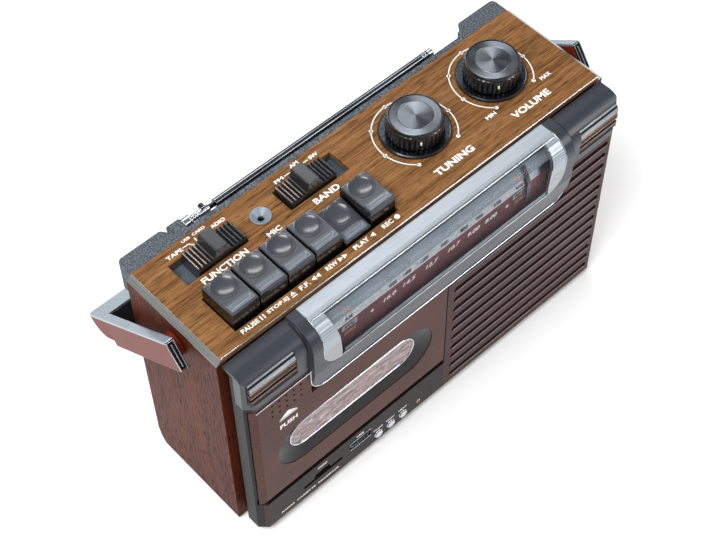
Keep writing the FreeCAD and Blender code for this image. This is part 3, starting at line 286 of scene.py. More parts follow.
white_ink = Finish("white_ink", Roughness=0.5)
ink_wear = white_ink.noise((2400, 2400, 2400), 3.0)
white_ink.feed(Base_Color=white_ink.mix(white_ink.ramp(ink_wear, (0.25, 1.0), (0.42, 0.0)),
                                        paint(240, 240, 236), paint(196, 190, 180)),
               Normal=white_ink.bump(ink_wear, 0.00002, 0.4))
white_ink = white_ink.material
FILM = 0.06 * mm


def lettering(name, words, left, right, middle, height, plane, ink, body, slot, slant=0.0, weight=0.035):
    """Printed words as a thin mesh: they fill the width from left to right, in mm along the plane."""
    curve = bpy.data.curves.new(name, "FONT")
    curve.body = words
    curve.size = 1.0
    curve.offset = weight
    curve.shear = slant
    curve.resolution_u = 3
    curve.extrude = 0.02
    drawn = bpy.data.objects.new(name, curve)
    bpy.context.scene.collection.objects.link(drawn)
    bpy.context.view_layer.update()
    mesh = bpy.data.meshes.new_from_object(drawn.evaluated_get(bpy.context.evaluated_depsgraph_get()))
    bpy.data.objects.remove(drawn)
    xs = [v.co.x for v in mesh.vertices]
    ys = [v.co.y for v in mesh.vertices]
    wide, tall = max(xs) - min(xs), max(ys) - min(ys)
    fit = Matrix.Diagonal(((right - left) / wide, height / tall, 1, 1))
    centre = Matrix.Translation((-(min(xs) + max(xs)) / 2, -(min(ys) + max(ys)) / 2, 0))
    mesh.transform(plane @ Matrix.Translation(((left + right) / 2 * mm, middle * mm, 0))
                   @ Matrix.Diagonal((mm, mm, FILM / 0.04, 1)) @ fit @ centre)
    mesh.materials.clear()
    mesh.materials.append(ink)
    piece = bpy.data.objects.new(name, mesh)
    bpy.context.scene.collection.objects.link(piece)
    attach(piece, body)
    return piece


def shape_on(name, outline, plane, ink, body, slot):
    """A printed flat shape: an outline in mm on the plane."""
    corners, faces = prism([(u * mm, v * mm) for u, v in outline], 0, FILM / 2)
    return solid(name, [plane @ Vector(c) for c in corners], faces, ink, body)


def stroke(name, points, width, plane, ink, body, slot):
    """A printed line of constant width through points in mm on the plane."""
    flat = [Vector(p) for p in points]
    sides = [[], []]
    for i, here in enumerate(flat):
        along = (flat[min(i + 1, len(flat) - 1)] - flat[max(i - 1, 0)]).normalized()
        across = Vector((-along.y, along.x)) * width / 2
        sides[0].append(here + across)
        sides[1].append(here - across)
    vertices, faces = [], []
    for left, right in zip(*sides):
        vertices += [plane @ Vector((left.x * mm, left.y * mm, FILM / 2)),
                     plane @ Vector((right.x * mm, right.y * mm, FILM / 2))]
    for i in range(len(flat) - 1):
        faces.append((2 * i, 2 * i + 1, 2 * i + 3, 2 * i + 2))
    return solid(name, vertices, faces, ink, body)



def circle(radius, count):
    """The points of a circle about the origin, as (u, v) pairs."""
    turns = [2 * math.pi * k / count for k in range(count)]
    return [(radius * math.cos(turn), radius * math.sin(turn)) for turn in turns]


def bare(words):
    """The letters of a legend, in lower case, for the name of its piece."""
    return "".join(c for c in words.lower() if c.isalpha())


on_top = Matrix.Translation((0, 0, top + FILM / 2))
printed_top = (on_top, white_ink, "cabinet", "reel_white")
words_on_top = (
    ("TUNING", 20.9, 47.7, -26.8, 4.3), ("VOLUME", 77.4, 104.7, -26.8, 4.3), ("MIN", 66.2, 73.0, -18.3, 2.5),
    ("MAX", 107.2, 114.6, -18.3, 2.5), ("PAUSE", -113.8, -103.0, -33.0, 2.7),
    ("STOP.EJ", -97.4, -84.2, -33.0, 2.7), ("F.F.", -76.9, -70.6, -33.0, 2.7),
    ("REW", -59.9, -52.6, -33.0, 2.7), ("PLAY", -41.3, -31.6, -33.0, 2.7), ("REC", -22.1, -15.2, -33.0, 2.7),
    ("FUNCTION", -108.8, -80.2, 2.2, 3.9), ("BAND", -36.4, -19.9, 1.8, 3.9), ("MIC", -67.2, -58.4, 2.0, 3.0),
    ("TAPE", -113.0, -103.2, 24.7, 2.3), ("RADIO", -86.4, -75.8, 25.2, 2.3),
    ("USB  CARD", -101.0, -86.4, 28.0, 1.7), ("FM", -42.8, -37.2, 24.9, 2.3), ("AM", -30.6, -25.0, 27.6, 2.3),
    ("SW", -19.4, -13.6, 25.2, 2.3))
for words, left, right, middle, height in words_on_top:
    lettering("legend_" + bare(words), words, left, right, middle, height, *printed_top)
sign_low, sign_middle, sign_high = -34.4, -33, -31.6
for name, x in (("pause_bar_0", -101.6), ("pause_bar_1", -99.8)):
    shape_on(name, [(x - 0.4, sign_low), (x + 0.4, sign_low), (x + 0.4, sign_high), (x - 0.4, sign_high)],
             *printed_top)
signs = {"eject": [(-82.8, -33.4), (-79.6, -33.4), (-81.2, -31.2)],
         "forward_0": [(-66.6, sign_low), (-66.6, sign_high), (-69.4, sign_middle)],
         "forward_1": [(-63.9, sign_low), (-63.9, sign_high), (-66.5, sign_middle)],
         "rewind_0": [(-51.6, sign_low), (-48.8, sign_middle), (-51.6, sign_high)],
         "rewind_1": [(-48.7, sign_low), (-45.9, sign_middle), (-48.7, sign_high)],
         "play": [(-27.5, sign_low), (-27.5, sign_high), (-30.4, sign_middle)],
         "eject_bar": [(-82.8, -34.6), (-79.6, -34.6), (-79.6, -34.0), (-82.8, -34.0)],
         "record": [(-12.2 + u, sign_middle + v) for u, v in circle(1.5, 20)]}
for name, outline in signs.items():
    shape_on("sign_" + name, outline, *printed_top)
for name, x in (("function", -94.6), ("band", -28.2)):
    ticks = {"left": [(x - 8.2, 24.9), (x - 4.6, 24.9), (x - 2.6, 22.6)],
             "right": [(x + 7.8, 25.0), (x + 4.4, 25.0), (x + 2.4, 22.6)],
             "middle": [(x - 0.1, 26.0), (x - 0.1, 22.6)]}
    for side, path in ticks.items():
        stroke(f"tick_{name}_{side}", path, 0.55, *printed_top)

# --- Rotary knobs -------------------------------------------------------------------------------
# Tuning and volume: a black skirt with a knurled edge on a bright washer, and a cap of spun
# aluminium with a turned groove. White arcs with seven dots are printed round each knob.

ink_black = Finish("knob_black", Metallic=0.0, Coat_Weight=0.3)
grit = ink_black.noise((1800, 1800, 1800), 3.0)
ink_black.feed(Base_Color=ink_black.mix(grit, paint(12, 13, 15), paint(24, 25, 28)),
               Roughness=0.16 + grit * 0.14,
               Normal=ink_black.bump(grit, 0.00001, 0.5, 0.0002))
knob_black = ink_black.material
ring_metal = brushed("ring_metal", paint(66, 70, 77), paint(36, 39, 44), (500, 500, 500), 0.2)
dress(ring_metal, "knob_rings")


def lathe(name, at, profile, material, body, ribs=0, rib_depth=0.0, rib_span=(0, 0), segments=96,
          ring=False):
    """A turned piece about an upright axis from (radius, height) points. A ring has an open middle.

    Ribs are grooves of rib_depth round the heights of rib_span.
    """
    steps = max(segments, ribs * 6)
    vertices, faces = [], []
    for radius, height in profile:
        for k in range(steps):
            turn = 2 * math.pi * k / steps
            cut = 0.0
            if ribs and rib_span[0] <= height <= rib_span[1]:
                cut = rib_depth * (0.5 - 0.5 * math.cos(ribs * turn)) ** 3
            reach = radius - cut
            vertices.append((at[0] + reach * math.cos(turn), at[1] + reach * math.sin(turn), at[2] + height))
    for i in range(len(profile) - (0 if ring else 1)):
        j = (i + 1) % len(profile)
        for k in range(steps):
            after = (k + 1) % steps
            faces.append((i * steps + k, i * steps + after, j * steps + after, j * steps + k))
    if not ring:
        faces += [tuple(range(steps))[::-1], tuple(range((len(profile) - 1) * steps, len(profile) * steps))]
    return solid(name, vertices, faces, material, body, True)


def dial_arc(centre, count):
    """Even steps along the printed arc round a knob, in mm on the top panel."""
    turns = [math.radians(231.7 - i * 283.4 / (count - 1)) for i in range(count)]
    return [(centre[0] / mm + 22.74 * math.cos(a), centre[1] / mm + 22.74 * math.sin(a)) for a in turns]


SKIRT = ((0.0032, 0.0023), (0.0152, 0.0023), (0.0157, 0.0028), (0.0157, 0.0100), (0.0154, 0.0108),
         (0.0148, 0.0114), (0.0148, 0.0122), (0.0144, 0.0128), (0.0141, 0.0128), (0.0138, 0.0122),
         (0.0032, 0.0122))
CAP = ((0.0004, 0.0121), (0.0137, 0.0121), (0.0137, 0.0125), (0.0134, 0.0127), (0.0098, 0.0126),
       (0.0096, 0.0124), (0.0093, 0.0124), (0.0091, 0.0126), (0.0004, 0.01285))
RIM = ((0.0137, 0.0126), (0.0139, 0.0129), (0.0143, 0.0129), (0.0146, 0.0125), (0.0144, 0.0124))
WASHER = ((0.0186, 0.0001), (0.01945, 0.0001), (0.01955, 0.0006), (0.0194, 0.0016), (0.0187, 0.00195),
          (0.0184, 0.0019))
for name, body in (("tuning_knob", "tuning"), ("volume_knob", "volume")):
    low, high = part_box(name)
    centre = ((low.x + high.x) / 2, (low.y + high.y) / 2, top)
    skirt = lathe(name + "_skirt", centre, SKIRT, knob_black, body,
                  ribs=34, rib_depth=0.0009, rib_span=(0.0024, 0.0101))
    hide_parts(name)
    spun = Finish(name + "_spun", Metallic=1.0, Anisotropic=0.9)
    level_place = spun.node("VectorMath", {"operation": "MULTIPLY"}, {0: spun.place(), 1: (1, 1, 0)})
    radial = spun.node("VectorMath", {"operation": "DISTANCE"},
                       {0: level_place, 1: (centre[0], centre[1], 0)}, out=1)
    turned = spun.node("TexNoise", {"noise_dimensions": "1D"},
                       {"W": radial * 5000, "Scale": 1.0, "Detail": 2.0})
    spun.feed(Base_Color=spun.mix(turned, paint(74, 78, 84), paint(118, 123, 130)),
              Roughness=0.26 + turned * 0.06)
    lathe(name + "_cap", centre, CAP, spun.material, body, segments=128)
    lathe(name + "_rim", centre, RIM, knob_black, body, segments=128, ring=True)
    mark = math.radians(238)
    mark_foot = Vector(centre) + Vector((math.cos(mark), math.sin(mark), 0)) * 0.01555
    bead(name + "_mark", [mark_foot + Vector((0, 0, 0.0066)), mark_foot + Vector((0, 0, 0.0082))],
         0.0005, white_ink, body)
    stroke(name + "_arc", dial_arc(centre, 73), 0.62, *printed_top)
    lathe(name + "_washer", centre, WASHER, knob_black, "cabinet", segments=128, ring=True)
    for i, (x, y) in enumerate(dial_arc(centre, 7)):
        shape_on(f"{name}_dot_{i}", [(x + u, y + v) for u, v in circle(1.15, 20)], *printed_top)
dress(ring_metal, "tuning_shaft", "rotary_controls")

# --- Piano keys ---------------------------------------------------------------------------------
# Six moulded key caps on levers that swing about one steel axle behind them. Each cap has a round
# finger dimple and, at the front, a raised lip with a pill-shaped groove. The tops are painted lighter
# than the black sides as painted sheen, and the lip lighter still as a painted highlight.


def moulded(name, dark, light, gloss, grain=1600, speck=0.5, **fixed):
    """Moulded plastic: fine surface grain, faint cloudiness, and edges rounded by the tool."""
    plastic = Finish(name, **fixed)
    fine = plastic.noise((grain, grain, grain), 3.0)
    cloud = plastic.noise((40, 40, 40), 2.0)
    dapple = plastic.ramp(fine * speck + cloud * (1 - speck), (0.3, 0.0), (0.7, 1.0))
    colour = plastic.mix(dapple, dark, light)
    return plastic.feed(Base_Color=colour, Roughness=gloss + fine * 0.1 + cloud * 0.08,
                        Normal=plastic.bump(fine, 0.00002, 0.5))


# Painted sheen and highlight: the tops and lips are coloured lighter than the near-black sides to stand for
# reflected light.
key_face_painted_sheen = moulded("key_face_painted_sheen", paint(42, 46, 52), paint(55, 60, 67), 0.24, Coat_Weight=0.4,
                   Coat_Roughness=0.12)
key_lip_painted_highlight = moulded("key_lip_painted_highlight", paint(80, 88, 98), paint(100, 108, 118), 0.2, Coat_Weight=0.5,
                  Coat_Roughness=0.12)
key_side = moulded("key_side", paint(6, 6, 7), paint(13, 13, 15), 0.12, Coat_Weight=0.4, Coat_Roughness=0.05)
joint_of = {joint["child"]: joint for joint in frame["record"]["behaviour"]["joints"]}
KEY_FRONT, KEY_BACK, KEY_LOW, KEY_TOP, KEY_ROUND = -54.0 * mm, -31.3 * mm, -2.6 * mm, 15.4 * mm, 0.7 * mm
DIMPLE_Y, DIMPLE_RADIUS, DIMPLE_DEPTH = -38.3 * mm, 6.2 * mm, 1.25 * mm
DIMPLE_LIP_WIDTH, DIMPLE_LIP_RISE = 0.14, 0.22 * mm
LIP_FRONT, LIP_BACK, LIP_HALF, LIP_SLOPE, LIP_RISE = -53.0 * mm, -48.6 * mm, 7.2 * mm, 0.5 * mm, 0.45 * mm
GROOVE_Y, GROOVE_HALF, GROOVE_RADIUS, GROOVE_DEPTH = -50.8 * mm, 5.0 * mm, 1.35 * mm, 0.8 * mm
PRESSED = 7.5


def key_top(x, y, half):
    """Height of a key's top surface at x from its middle line, and whether it belongs to the lip."""
    z = KEY_TOP
    edge = min(half - abs(x), y - KEY_FRONT, KEY_BACK - y)
    if edge < KEY_ROUND:
        z -= KEY_ROUND - math.sqrt(max(0, KEY_ROUND ** 2 - (KEY_ROUND - edge) ** 2))
    away = math.hypot(x, y - DIMPLE_Y) / DIMPLE_RADIUS
    if away < 1:
        z -= DIMPLE_DEPTH * (1 - away ** 2) ** 0.75
    elif away < 1 + DIMPLE_LIP_WIDTH:
        z += DIMPLE_LIP_RISE * math.sin((away - 1) / DIMPLE_LIP_WIDTH * math.pi)
    lip = LIP_FRONT < y < LIP_BACK and abs(x) < LIP_HALF
    if y < LIP_BACK + LIP_SLOPE:
        z += LIP_RISE * min(1, (LIP_BACK + LIP_SLOPE - y) / LIP_SLOPE)
    across = math.hypot(max(0, abs(x) - GROOVE_HALF), y - GROOVE_Y)
    if across < GROOVE_RADIUS:
        z -= GROOVE_DEPTH * math.sqrt(1 - (across / GROOVE_RADIUS) ** 2)
    return min(z, KEY_TOP + LIP_RISE), lip


lever_bars = (((-50, -34.3), (-6, -2.6)), ((-50, 2), (-12, -6)), ((-2, 2), (-6, 1.9)))
for name in ("key_pause", "key_stop", "key_forward", "key_rewind", "key_play", "key_record"):
    body = name + "_body"
    low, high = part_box(name)
    half = (high.x - low.x) / 2
    lean = math.radians(PRESSED) if name == "key_play" else 0
    stand = Matrix.Translation((low.x + half, *joint_of[body]["pos_m"][1:])) @ Matrix.Rotation(lean, 4, "X")
    columns, rows = 52, 68
    row = columns + 1
    vertices, faces, slots = [], [], []
    for j in range(rows + 1):
        for i in range(row):
            x = -half + 2 * half * i / columns
            y = KEY_FRONT + (KEY_BACK - KEY_FRONT) * j / rows
            vertices.append(Vector((x, y, key_top(x, y, half)[0])))
    for j in range(rows):
        for i in range(columns):
            a = j * row + i
            faces.append((a, a + 1, a + row + 1, a + row))
            centre = (vertices[a] + vertices[a + row + 1]) / 2
            slots.append(1 if key_top(centre.x, centre.y, half)[1] else 0)
    rim = [i for i in range(columns)] + [j * row + columns for j in range(rows)]
    rim += [rows * row + i for i in range(columns, 0, -1)] + [j * row for j in range(rows, 0, -1)]
    skirt = len(vertices)
    vertices += [Vector((vertices[k].x, vertices[k].y, KEY_LOW)) for k in rim]
    for k in range(len(rim)):
        faces.append((rim[k], skirt + k, skirt + (k + 1) % len(rim), rim[(k + 1) % len(rim)]))
        slots.append(2)
    faces.append(tuple(skirt + k for k in range(len(rim))))
    slots.append(2)
    for span_y, (foot, head) in lever_bars:
        outline = [(u * mm, v * mm) for u, v in ((-3, foot), (3, foot), (3, head), (-3, head))]
        corners, sides = prism(outline, span_y[0] * mm, span_y[1] * mm)
        first = len(vertices)
        vertices += [Vector((u, w, v)) for u, v, w in corners]
        faces += [tuple(first + c for c in side) for side in sides]
        slots += [2] * len(sides)
    cap = solid(name + "_cap", [stand @ v for v in vertices], faces, key_face_painted_sheen, body, True)
    cap.data.materials.append(key_lip_painted_highlight)
    cap.data.materials.append(key_side)
    for face, slot in zip(cap.data.polygons, slots):
        face.material_index = slot
    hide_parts(name)

# --- Slide switches and microphone jack ---------------------------------------------------------
# Function and band sliders: grooved black blocks with a wedge-shaped nub, in grey wells. Their left
# lands are a bright coppery metal as painted highlight on the ridges. The jack is a grey dished bush
# with the plug hole in its middle, its bore lined in black as painted shade.

well_grey = moulded("well_grey", paint(66, 75, 85), paint(80, 89, 99), 0.42)
slider_black = moulded("slider_black", paint(20, 21, 24), paint(34, 36, 40), 0.2, Coat_Weight=0.4,
                       Coat_Roughness=0.15)
# Painted highlight: the left lands use a bright coppery metal for the light their ridges catch.
ridge_painted_highlight = brushed("ridge_painted_highlight", paint(172, 156, 146), paint(110, 98, 92), (300, 60, 300), 0.25)
dress(slider_black, "function_slider", "band_slider")
dress(well_grey, "switch_trays")
LAND_PITCH = 0.0023
for name, body in (("function_slider", "function_switch"), ("band_slider", "band_switch")):
    low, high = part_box(name)
    front, rear = low.y + 0.0004, high.y - 0.0004
    deck = high.z - 0.00505
    middle = (low.x + high.x) / 2
    lands = {"left": (low.x + 0.0004, middle - 0.0052, ridge_painted_highlight),
             "right": (middle + 0.0052, high.x - 0.0003, slider_black)}
    for side, (first, last, finish) in lands.items():
        for i in range(5):
            x = first + i * LAND_PITCH
            if x <= last:
                bead(f"{name}_land_{side}_{i}", [(x, front, deck), (x, rear, deck)], 0.00042, finish, body,
                     flat=0.5)
    for side, x in (("left", middle - 0.0034), ("right", middle + 0.0034)):
        bead(f"{name}_ridge_{side}", [(x, front, high.z - 0.0004), (x, rear, high.z - 0.0004)],
             0.0005, slider_black, body)
jack_grey = moulded("jack_grey", paint(104, 114, 124), paint(134, 144, 154), 0.26)
jack_low, jack_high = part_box("mic_jack")
jack = ((jack_low.x + jack_high.x) / 2, (jack_low.y + jack_high.y) / 2, top)
dress(jack_grey, "mic_jack")
jack_lip = [(0.0050, 0.0001), (0.0056, 0.0001), (0.0057, 0.0005), (0.0054, 0.0008), (0.0050, 0.0007),
            (0.0047, 0.0004)]
lathe("mic_jack_lip", jack, jack_lip, jack_grey, "cabinet", ring=True)
# Painted shade: a near-black for the jack's bore, the gaps beside the dial border and the rear air slots.
painted_shade_black = moulded("unlit_black", paint(5, 5, 6), paint(9, 9, 10), 0.7)
# The jack's bore is lined with it: painted shade inside the plug hole.
jack_bore = [(0.0004, -0.0122), (0.0017, -0.0122), (0.00175, -0.0030), (0.0016, -0.0030), (0.0015, -0.0118),
             (0.0004, -0.0118)]
lathe("mic_jack_bore_shade", jack, jack_bore, painted_shade_black, "cabinet", segments=32, ring=True)

# --- Front casing and loudspeaker grille --------------------------------------------------------
# One brown moulding with round-ended slots in front of a black acoustic cloth. The plastic has a
# faint upright print that echoes the wood. Pale beads along the rib lips are painted highlights where
# the ribs catch light.


def printed_brown(name, base, streak, gloss, coat=0.0, edge=0):
    """Brown plastic with a faint printed grain along X. Outside x = -edge it is painted black: painted shade
    in the gap beside the door.
    """
    plastic = Finish(name, Coat_Weight=coat, Coat_Roughness=0.2, Specular_IOR_Level=0.12)
    grain = plastic.noise((16, 500, 520), 4.0, 0.6, 0.3)
    cloud = plastic.noise((18, 18, 18), 2.0)
    fine = plastic.noise((2000, 2000, 2000), 2.0)
    colour = plastic.mix(plastic.ramp(grain, (0.35, 0.0), (0.7, 1.0)), streak, base)
    lighter = [c * 1.5 for c in base[:3]] + [1]
    colour = plastic.mix(plastic.ramp(cloud, (0.4, 0.0), (0.8, 0.35)), colour, lighter)
    if edge:
        # Painted shade: beyond x = -edge the colour turns near-black for the gap beside the door.
        colour = plastic.mix(plastic.axes()[0] < -edge, colour, paint(15, 13, 14))
    return plastic.feed(Base_Color=colour, Roughness=gloss + fine * 0.1 + grain * 0.06,
                        Normal=plastic.bump(fine * 0.6 + grain * 0.4, 0.00002, 0.5, 0.0004))


# Its left 3 mm are painted black as shade in the gap between the casing side and the door.
casing_brown = printed_brown("casing_brown", paint(66, 38, 34), paint(48, 26, 24), 0.33, edge=0.1283)
dress(casing_brown, "front_cabinet")
cloth = Finish("acoustic_cloth", Sheen_Weight=0.3)
weft = cloth.node("TexWave", {"bands_direction": "X"}, {"Vector": cloth.place(), "Scale": 320.0}, out=1)
warp = cloth.node("TexWave", {"bands_direction": "Z"}, {"Vector": cloth.place(), "Scale": 320.0}, out=1)
cloth.feed(Base_Color=cloth.mix(weft * warp, paint(8, 8, 9), paint(34, 34, 38)), Roughness=0.8 + weft * 0.1,
           Normal=cloth.bump(weft + warp, 0.0001, 0.8))
dress(cloth.material, "speaker_cloth")
face_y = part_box("front_cabinet")[0].y
# Painted highlights: pale beads along the rib lips stand for the light the lips catch.
lip_highlight = moulded("rib_highlight", paint(84, 82, 90), paint(104, 102, 112), 0.3, Coat_Weight=0.4,
                    Coat_Roughness=0.15)
slot_pitch, slot_left, slot_right = 9.3 * mm, 10.0 * mm, 124.6 * mm
dial_border_end, dial_border_foot = 0.0965, 0.110
for i in range(13):
    middle_z = 13.2 * mm + slot_pitch * i
    start = dial_border_end if middle_z > dial_border_foot else slot_left
    lip_z = middle_z - 0.0023
    bead(f"rib_highlight_{i}", [(start, face_y + 0.0002, lip_z), (slot_right, face_y + 0.0002, lip_z)],
         0.0003, lip_highlight, "cabinet")

# --- Cassette door ------------------------------------------------------------------------------
# A brown door hinged at its foot. It carries a wide dark bevel round a recessed clear pane, a
# bright line along its top, fifteen holes for the microphone and a printed push mark.

door_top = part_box("cassette_door")[1].z
door_brown = printed_brown("door_brown", paint(82, 42, 32), paint(54, 26, 19), 0.28)
dress(door_brown, "cassette_door")
pane_low, pane_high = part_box("door_window")
ring_low, ring_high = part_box("door_window_frame")


def stadium(low, high, grow, points=24):
    """A round-ended outline in x and z round a box, larger by grow."""
    end = (high.z - low.z) / 2
    radius = end + grow
    z = (low.z + high.z) / 2
    turns = [(x, math.radians(a + 180 * i / points))
             for x, a in ((high.x - end, -90), (low.x + end, 90)) for i in range(points + 1)]
    return [(x + radius * math.cos(turn), z + radius * math.sin(turn)) for x, turn in turns]


gunmetal = Finish("gunmetal_paint", Specular_IOR_Level=0.35)
flake = gunmetal.noise((3000, 3000, 3000), 2.0)
haze = gunmetal.noise((50, 50, 50), 2.0)
gunmetal.feed(Base_Color=gunmetal.mix(gunmetal.ramp(flake, (0.35, 0.0), (0.7, 1.0)), paint(36, 40, 46),
                                      paint(58, 63, 70)),
              Roughness=0.26 + haze * 0.12, Normal=gunmetal.bump(flake, 0.00001, 0.4, 0.0005))
gunmetal = gunmetal.material
rings = [(ring_low, ring_high, 0.0, face_y + 0.0004), (ring_low, ring_high, -0.0006, face_y + 0.00055),
         (pane_low, pane_high, 0.0030, pane_low.y - 0.0006),
         (pane_low, pane_high, 0.0004, pane_low.y + 0.0002),
         (pane_low, pane_high, 0.0003, pane_high.y), (ring_low, ring_high, 0.0, pane_high.y)]
vertices, faces = [], []
for low, high, grow, y in rings:
    vertices += [(x, y, z) for x, z in stadium(low, high, grow)]
count = len(vertices) // len(rings)
for i in range(len(rings)):
    j = (i + 1) % len(rings)
    for k in range(count):
        after = (k + 1) % count
        faces.append((i * count + k, i * count + after, j * count + after, j * count + k))
bowl_black = moulded("bowl_black", paint(22, 20, 22), paint(36, 33, 36), 0.22, Specular_IOR_Level=0.25)
bowl = solid("door_window_bowl", vertices, faces, bowl_black, "door", True)
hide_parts("door_window_frame")
pane_edge = [(x, pane_low.y - 0.0001, z) for x, z in stadium(pane_low, pane_high, 0.0001)]
bead("door_window_bead", pane_edge, 0.00055, chrome, "door", closed=True)
pane = Finish("door_pane", Coat_Weight=0.6, Coat_Roughness=0.05)
frost = pane.noise((700, 700, 1900), 5.0, 0.7)
patch = pane.noise((130, 130, 420), 4.0, 0.65, 0.6)
smoke = pane.ramp(patch * 0.55 + frost * 0.45, (0.36, paint(58, 38, 40)), (0.47, paint(118, 88, 88)),
                  (0.56, paint(172, 146, 144)), (0.68, paint(214, 204, 204)))
pane.feed(Base_Color=smoke, Roughness=0.18 + frost * 0.3, Alpha=0.72 + patch * 0.3,
          Normal=pane.bump(frost, 0.0001, 0.6))
dress(pane.material, "door_window")
line_y, line_z = face_y - 0.0002, door_top - 0.0004
bead("door_top_line", [(-0.1275, line_y, line_z), (-0.0925, line_y, line_z)], 0.0004, chrome, "door")
on_front = Matrix.Translation((0, face_y - FILM / 2, 0)) @ Matrix.Rotation(math.radians(90), 4, "X")
printed_door = (on_front, white_ink, "door", "reel_white")
push_left, push_right = -113.7, -101.8
shape_on("push_mark", [(push_left, 104.2), (push_right, 104.2), (-107.4, 108.2), (-108.2, 108.2)],
         *printed_door)
shape_on("push_line", [(push_left, 103.0), (push_right, 103.0), (push_right, 103.6), (push_left, 103.6)],
         *printed_door)
lettering("push_word", "PUSH", -113.6, -102.0, 97.2, 3.6, *printed_door)

# --- Media panel under the door -----------------------------------------------------------------
# A black strip with the card slot, the USB socket and three bright push buttons with small legends.

strip_black = moulded("strip_black", paint(24, 16, 17), paint(36, 26, 28), 0.3, Specular_IOR_Level=0.12)
dress(strip_black, "media_panel")
socket_steel = brushed("socket_steel", paint(200, 204, 210), paint(150, 154, 160), (300, 900, 300), 0.22)
dress(socket_steel, "media_sockets")
dress(chrome, "button_mode", "button_previous", "button_next")
words_on_panel = (("USB", -62.6, -57.2, 26.6, 1.8), ("CARD", -91.2, -84.4, 26.6, 1.8),
                  ("MODE", -49.8, -43.0, 17.4, 1.5), ("PREV", -40.2, -33.8, 17.4, 1.5),
                  ("NEXT", -30.8, -24.4, 17.4, 1.5), ("RADIO  CASSETTE  RECORDER", -118, -76, 11.0, 1.6))
for words, left, right, z, height in words_on_panel:
    lettering("panel_" + bare(words), words, left, right, z, height, on_front, white_ink, "cabinet",
              "reel_white")
print_y = face_y - 0.0001
for name in ("button_mode", "button_previous", "button_next"):
    low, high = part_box(name)
    x, z = (low.x + high.x) / 2, (low.z + high.z) / 2
    ring = [(x + u, print_y, z + v) for u, v in circle(0.00275, 36)]
    bead(name + "_collar", ring, 0.0003, chrome, "cabinet", closed=True)
usb_outline = ((-0.0678, 0.0177), (-0.0521, 0.0177), (-0.0521, 0.0242), (-0.0678, 0.0242))
bead("usb_surround", [(x, print_y, z) for x, z in usb_outline], 0.0003, socket_steel, "cabinet",
     closed=True)
lamp = Finish("pilot_lamp", Roughness=0.2, Coat_Weight=0.5)
glow = lamp.noise((900, 900, 900), 2.0)
lamp.feed(Base_Color=lamp.mix(glow, paint(120, 16, 12), paint(176, 34, 24)))
pilot_x, pilot_z, pilot_points = -0.0155, 0.0122, 24
pilot = [(pilot_x + u, print_y, pilot_z + v) for u, v in circle(0.0011, pilot_points)]
bead("pilot_ring", pilot, 0.0003, chrome, "cabinet", closed=True)
solid("pilot_lens", [(x, face_y - 0.0004, z) for x, y, z in pilot] + [(pilot_x, face_y - 0.0009, pilot_z)],
      [(k, (k + 1) % pilot_points, pilot_points) for k in range(pilot_points)], lamp.material, "cabinet",
      True)

# --- Quarter-round bezel and dial border --------------------------------------------------------
# Gunmetal-painted mouldings that roll over from the top to the front. The dial border stands
# proud of them, with a bright line along its foot. Ribbed bright trims sit in both ends.

dress(gunmetal, "dial_bezel")
bezel_low, bezel_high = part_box("dial_bezel")
lens_low, lens_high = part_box("dial_window")
dial_half = 0.092
right_angle = [math.radians(10 * k) for k in range(10)]
groove_x, groove_radius = dial_half + 0.0012, 0.0105
# A near-black bead of painted shade marks the gap beside each end of the dial border.
for name, side in (("left", -1), ("right", 1)):
    path = [(side * groove_x, lens_low.y + 0.0165, bezel_high.z - 0.0018)]
    path += [(side * groove_x, face_y + groove_radius * (1 - math.sin(a)),
              bezel_high.z - 0.0016 - groove_radius * (1 - math.cos(a))) for a in right_angle[1:]]
    path.append((side * groove_x, face_y, bezel_low.z + 0.024))
    bead("bezel_groove_" + name, path, 0.0005, painted_shade_black, "cabinet")
corner = 0.010
bend = corner + 0.0002
border_top = 0.128
corner_z = bezel_low.z + corner
border = [(-dial_half - 0.0002, border_top)]
border += [(-dial_half + corner - bend * math.cos(a), corner_z - bend * math.sin(a)) for a in right_angle]
border += [(dial_half - corner + bend * math.sin(a), corner_z - bend * math.cos(a)) for a in right_angle]
border.append((dial_half + 0.0002, border_top))
bead("dial_border_line", [(x, face_y - 0.0003, z) for x, z in border], 0.0004, chrome, "cabinet")
coppery = brushed("coppery_bright", paint(240, 202, 172), paint(182, 138, 112), (30, 600, 600), 0.2)
cool_bright = brushed("cool_bright", paint(196, 204, 212), paint(146, 154, 162), (60, 800, 800), 0.26)
dress(strip_black, "front_trims")
trim_low, trim_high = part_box("front_trims")
trim_y, trim_z = trim_low.y, trim_high.z
bar_section = [(trim_y + 0.0001, trim_z - 0.0047), (trim_y - 0.0003, trim_z - 0.0044),
               (trim_y + 0.0019, trim_z - 0.0002), (trim_y + 0.0030, trim_z - 0.0002),
               (trim_y + 0.0030, trim_z - 0.0050)]
ridge_section = ((0.0026, 0.0010), (0.0004, 0.0008), (-0.0002, 0), (0.0004, -0.0008), (0.0026, -0.0010))
for name, near, far in (("left", -0.1291, -0.1003), ("right", 0.1003, 0.1291)):
    corners, sides = prism(bar_section, near, far)
    solid("trim_bar_" + name, [(w, u, v) for u, v, w in corners], sides, cool_bright, "cabinet")
    for i in range(3):
        z = trim_z - 0.0062 - i * 0.0037
        corners, sides = prism([(trim_y + v, z + w) for v, w in ridge_section], near, far)
        solid(f"trim_ridge_{name}_{i}", [(w, u, v) for u, v, w in corners], sides, coppery, "cabinet")

# --- Dial: lens, card, pointer and scales -------------------------------------------------------
# A clear acrylic lens that rolls over the front edge, silvered inside along its top and at both
# ends. Behind it stands a printed card with the three wave bands, and a pointer on a cord slides.

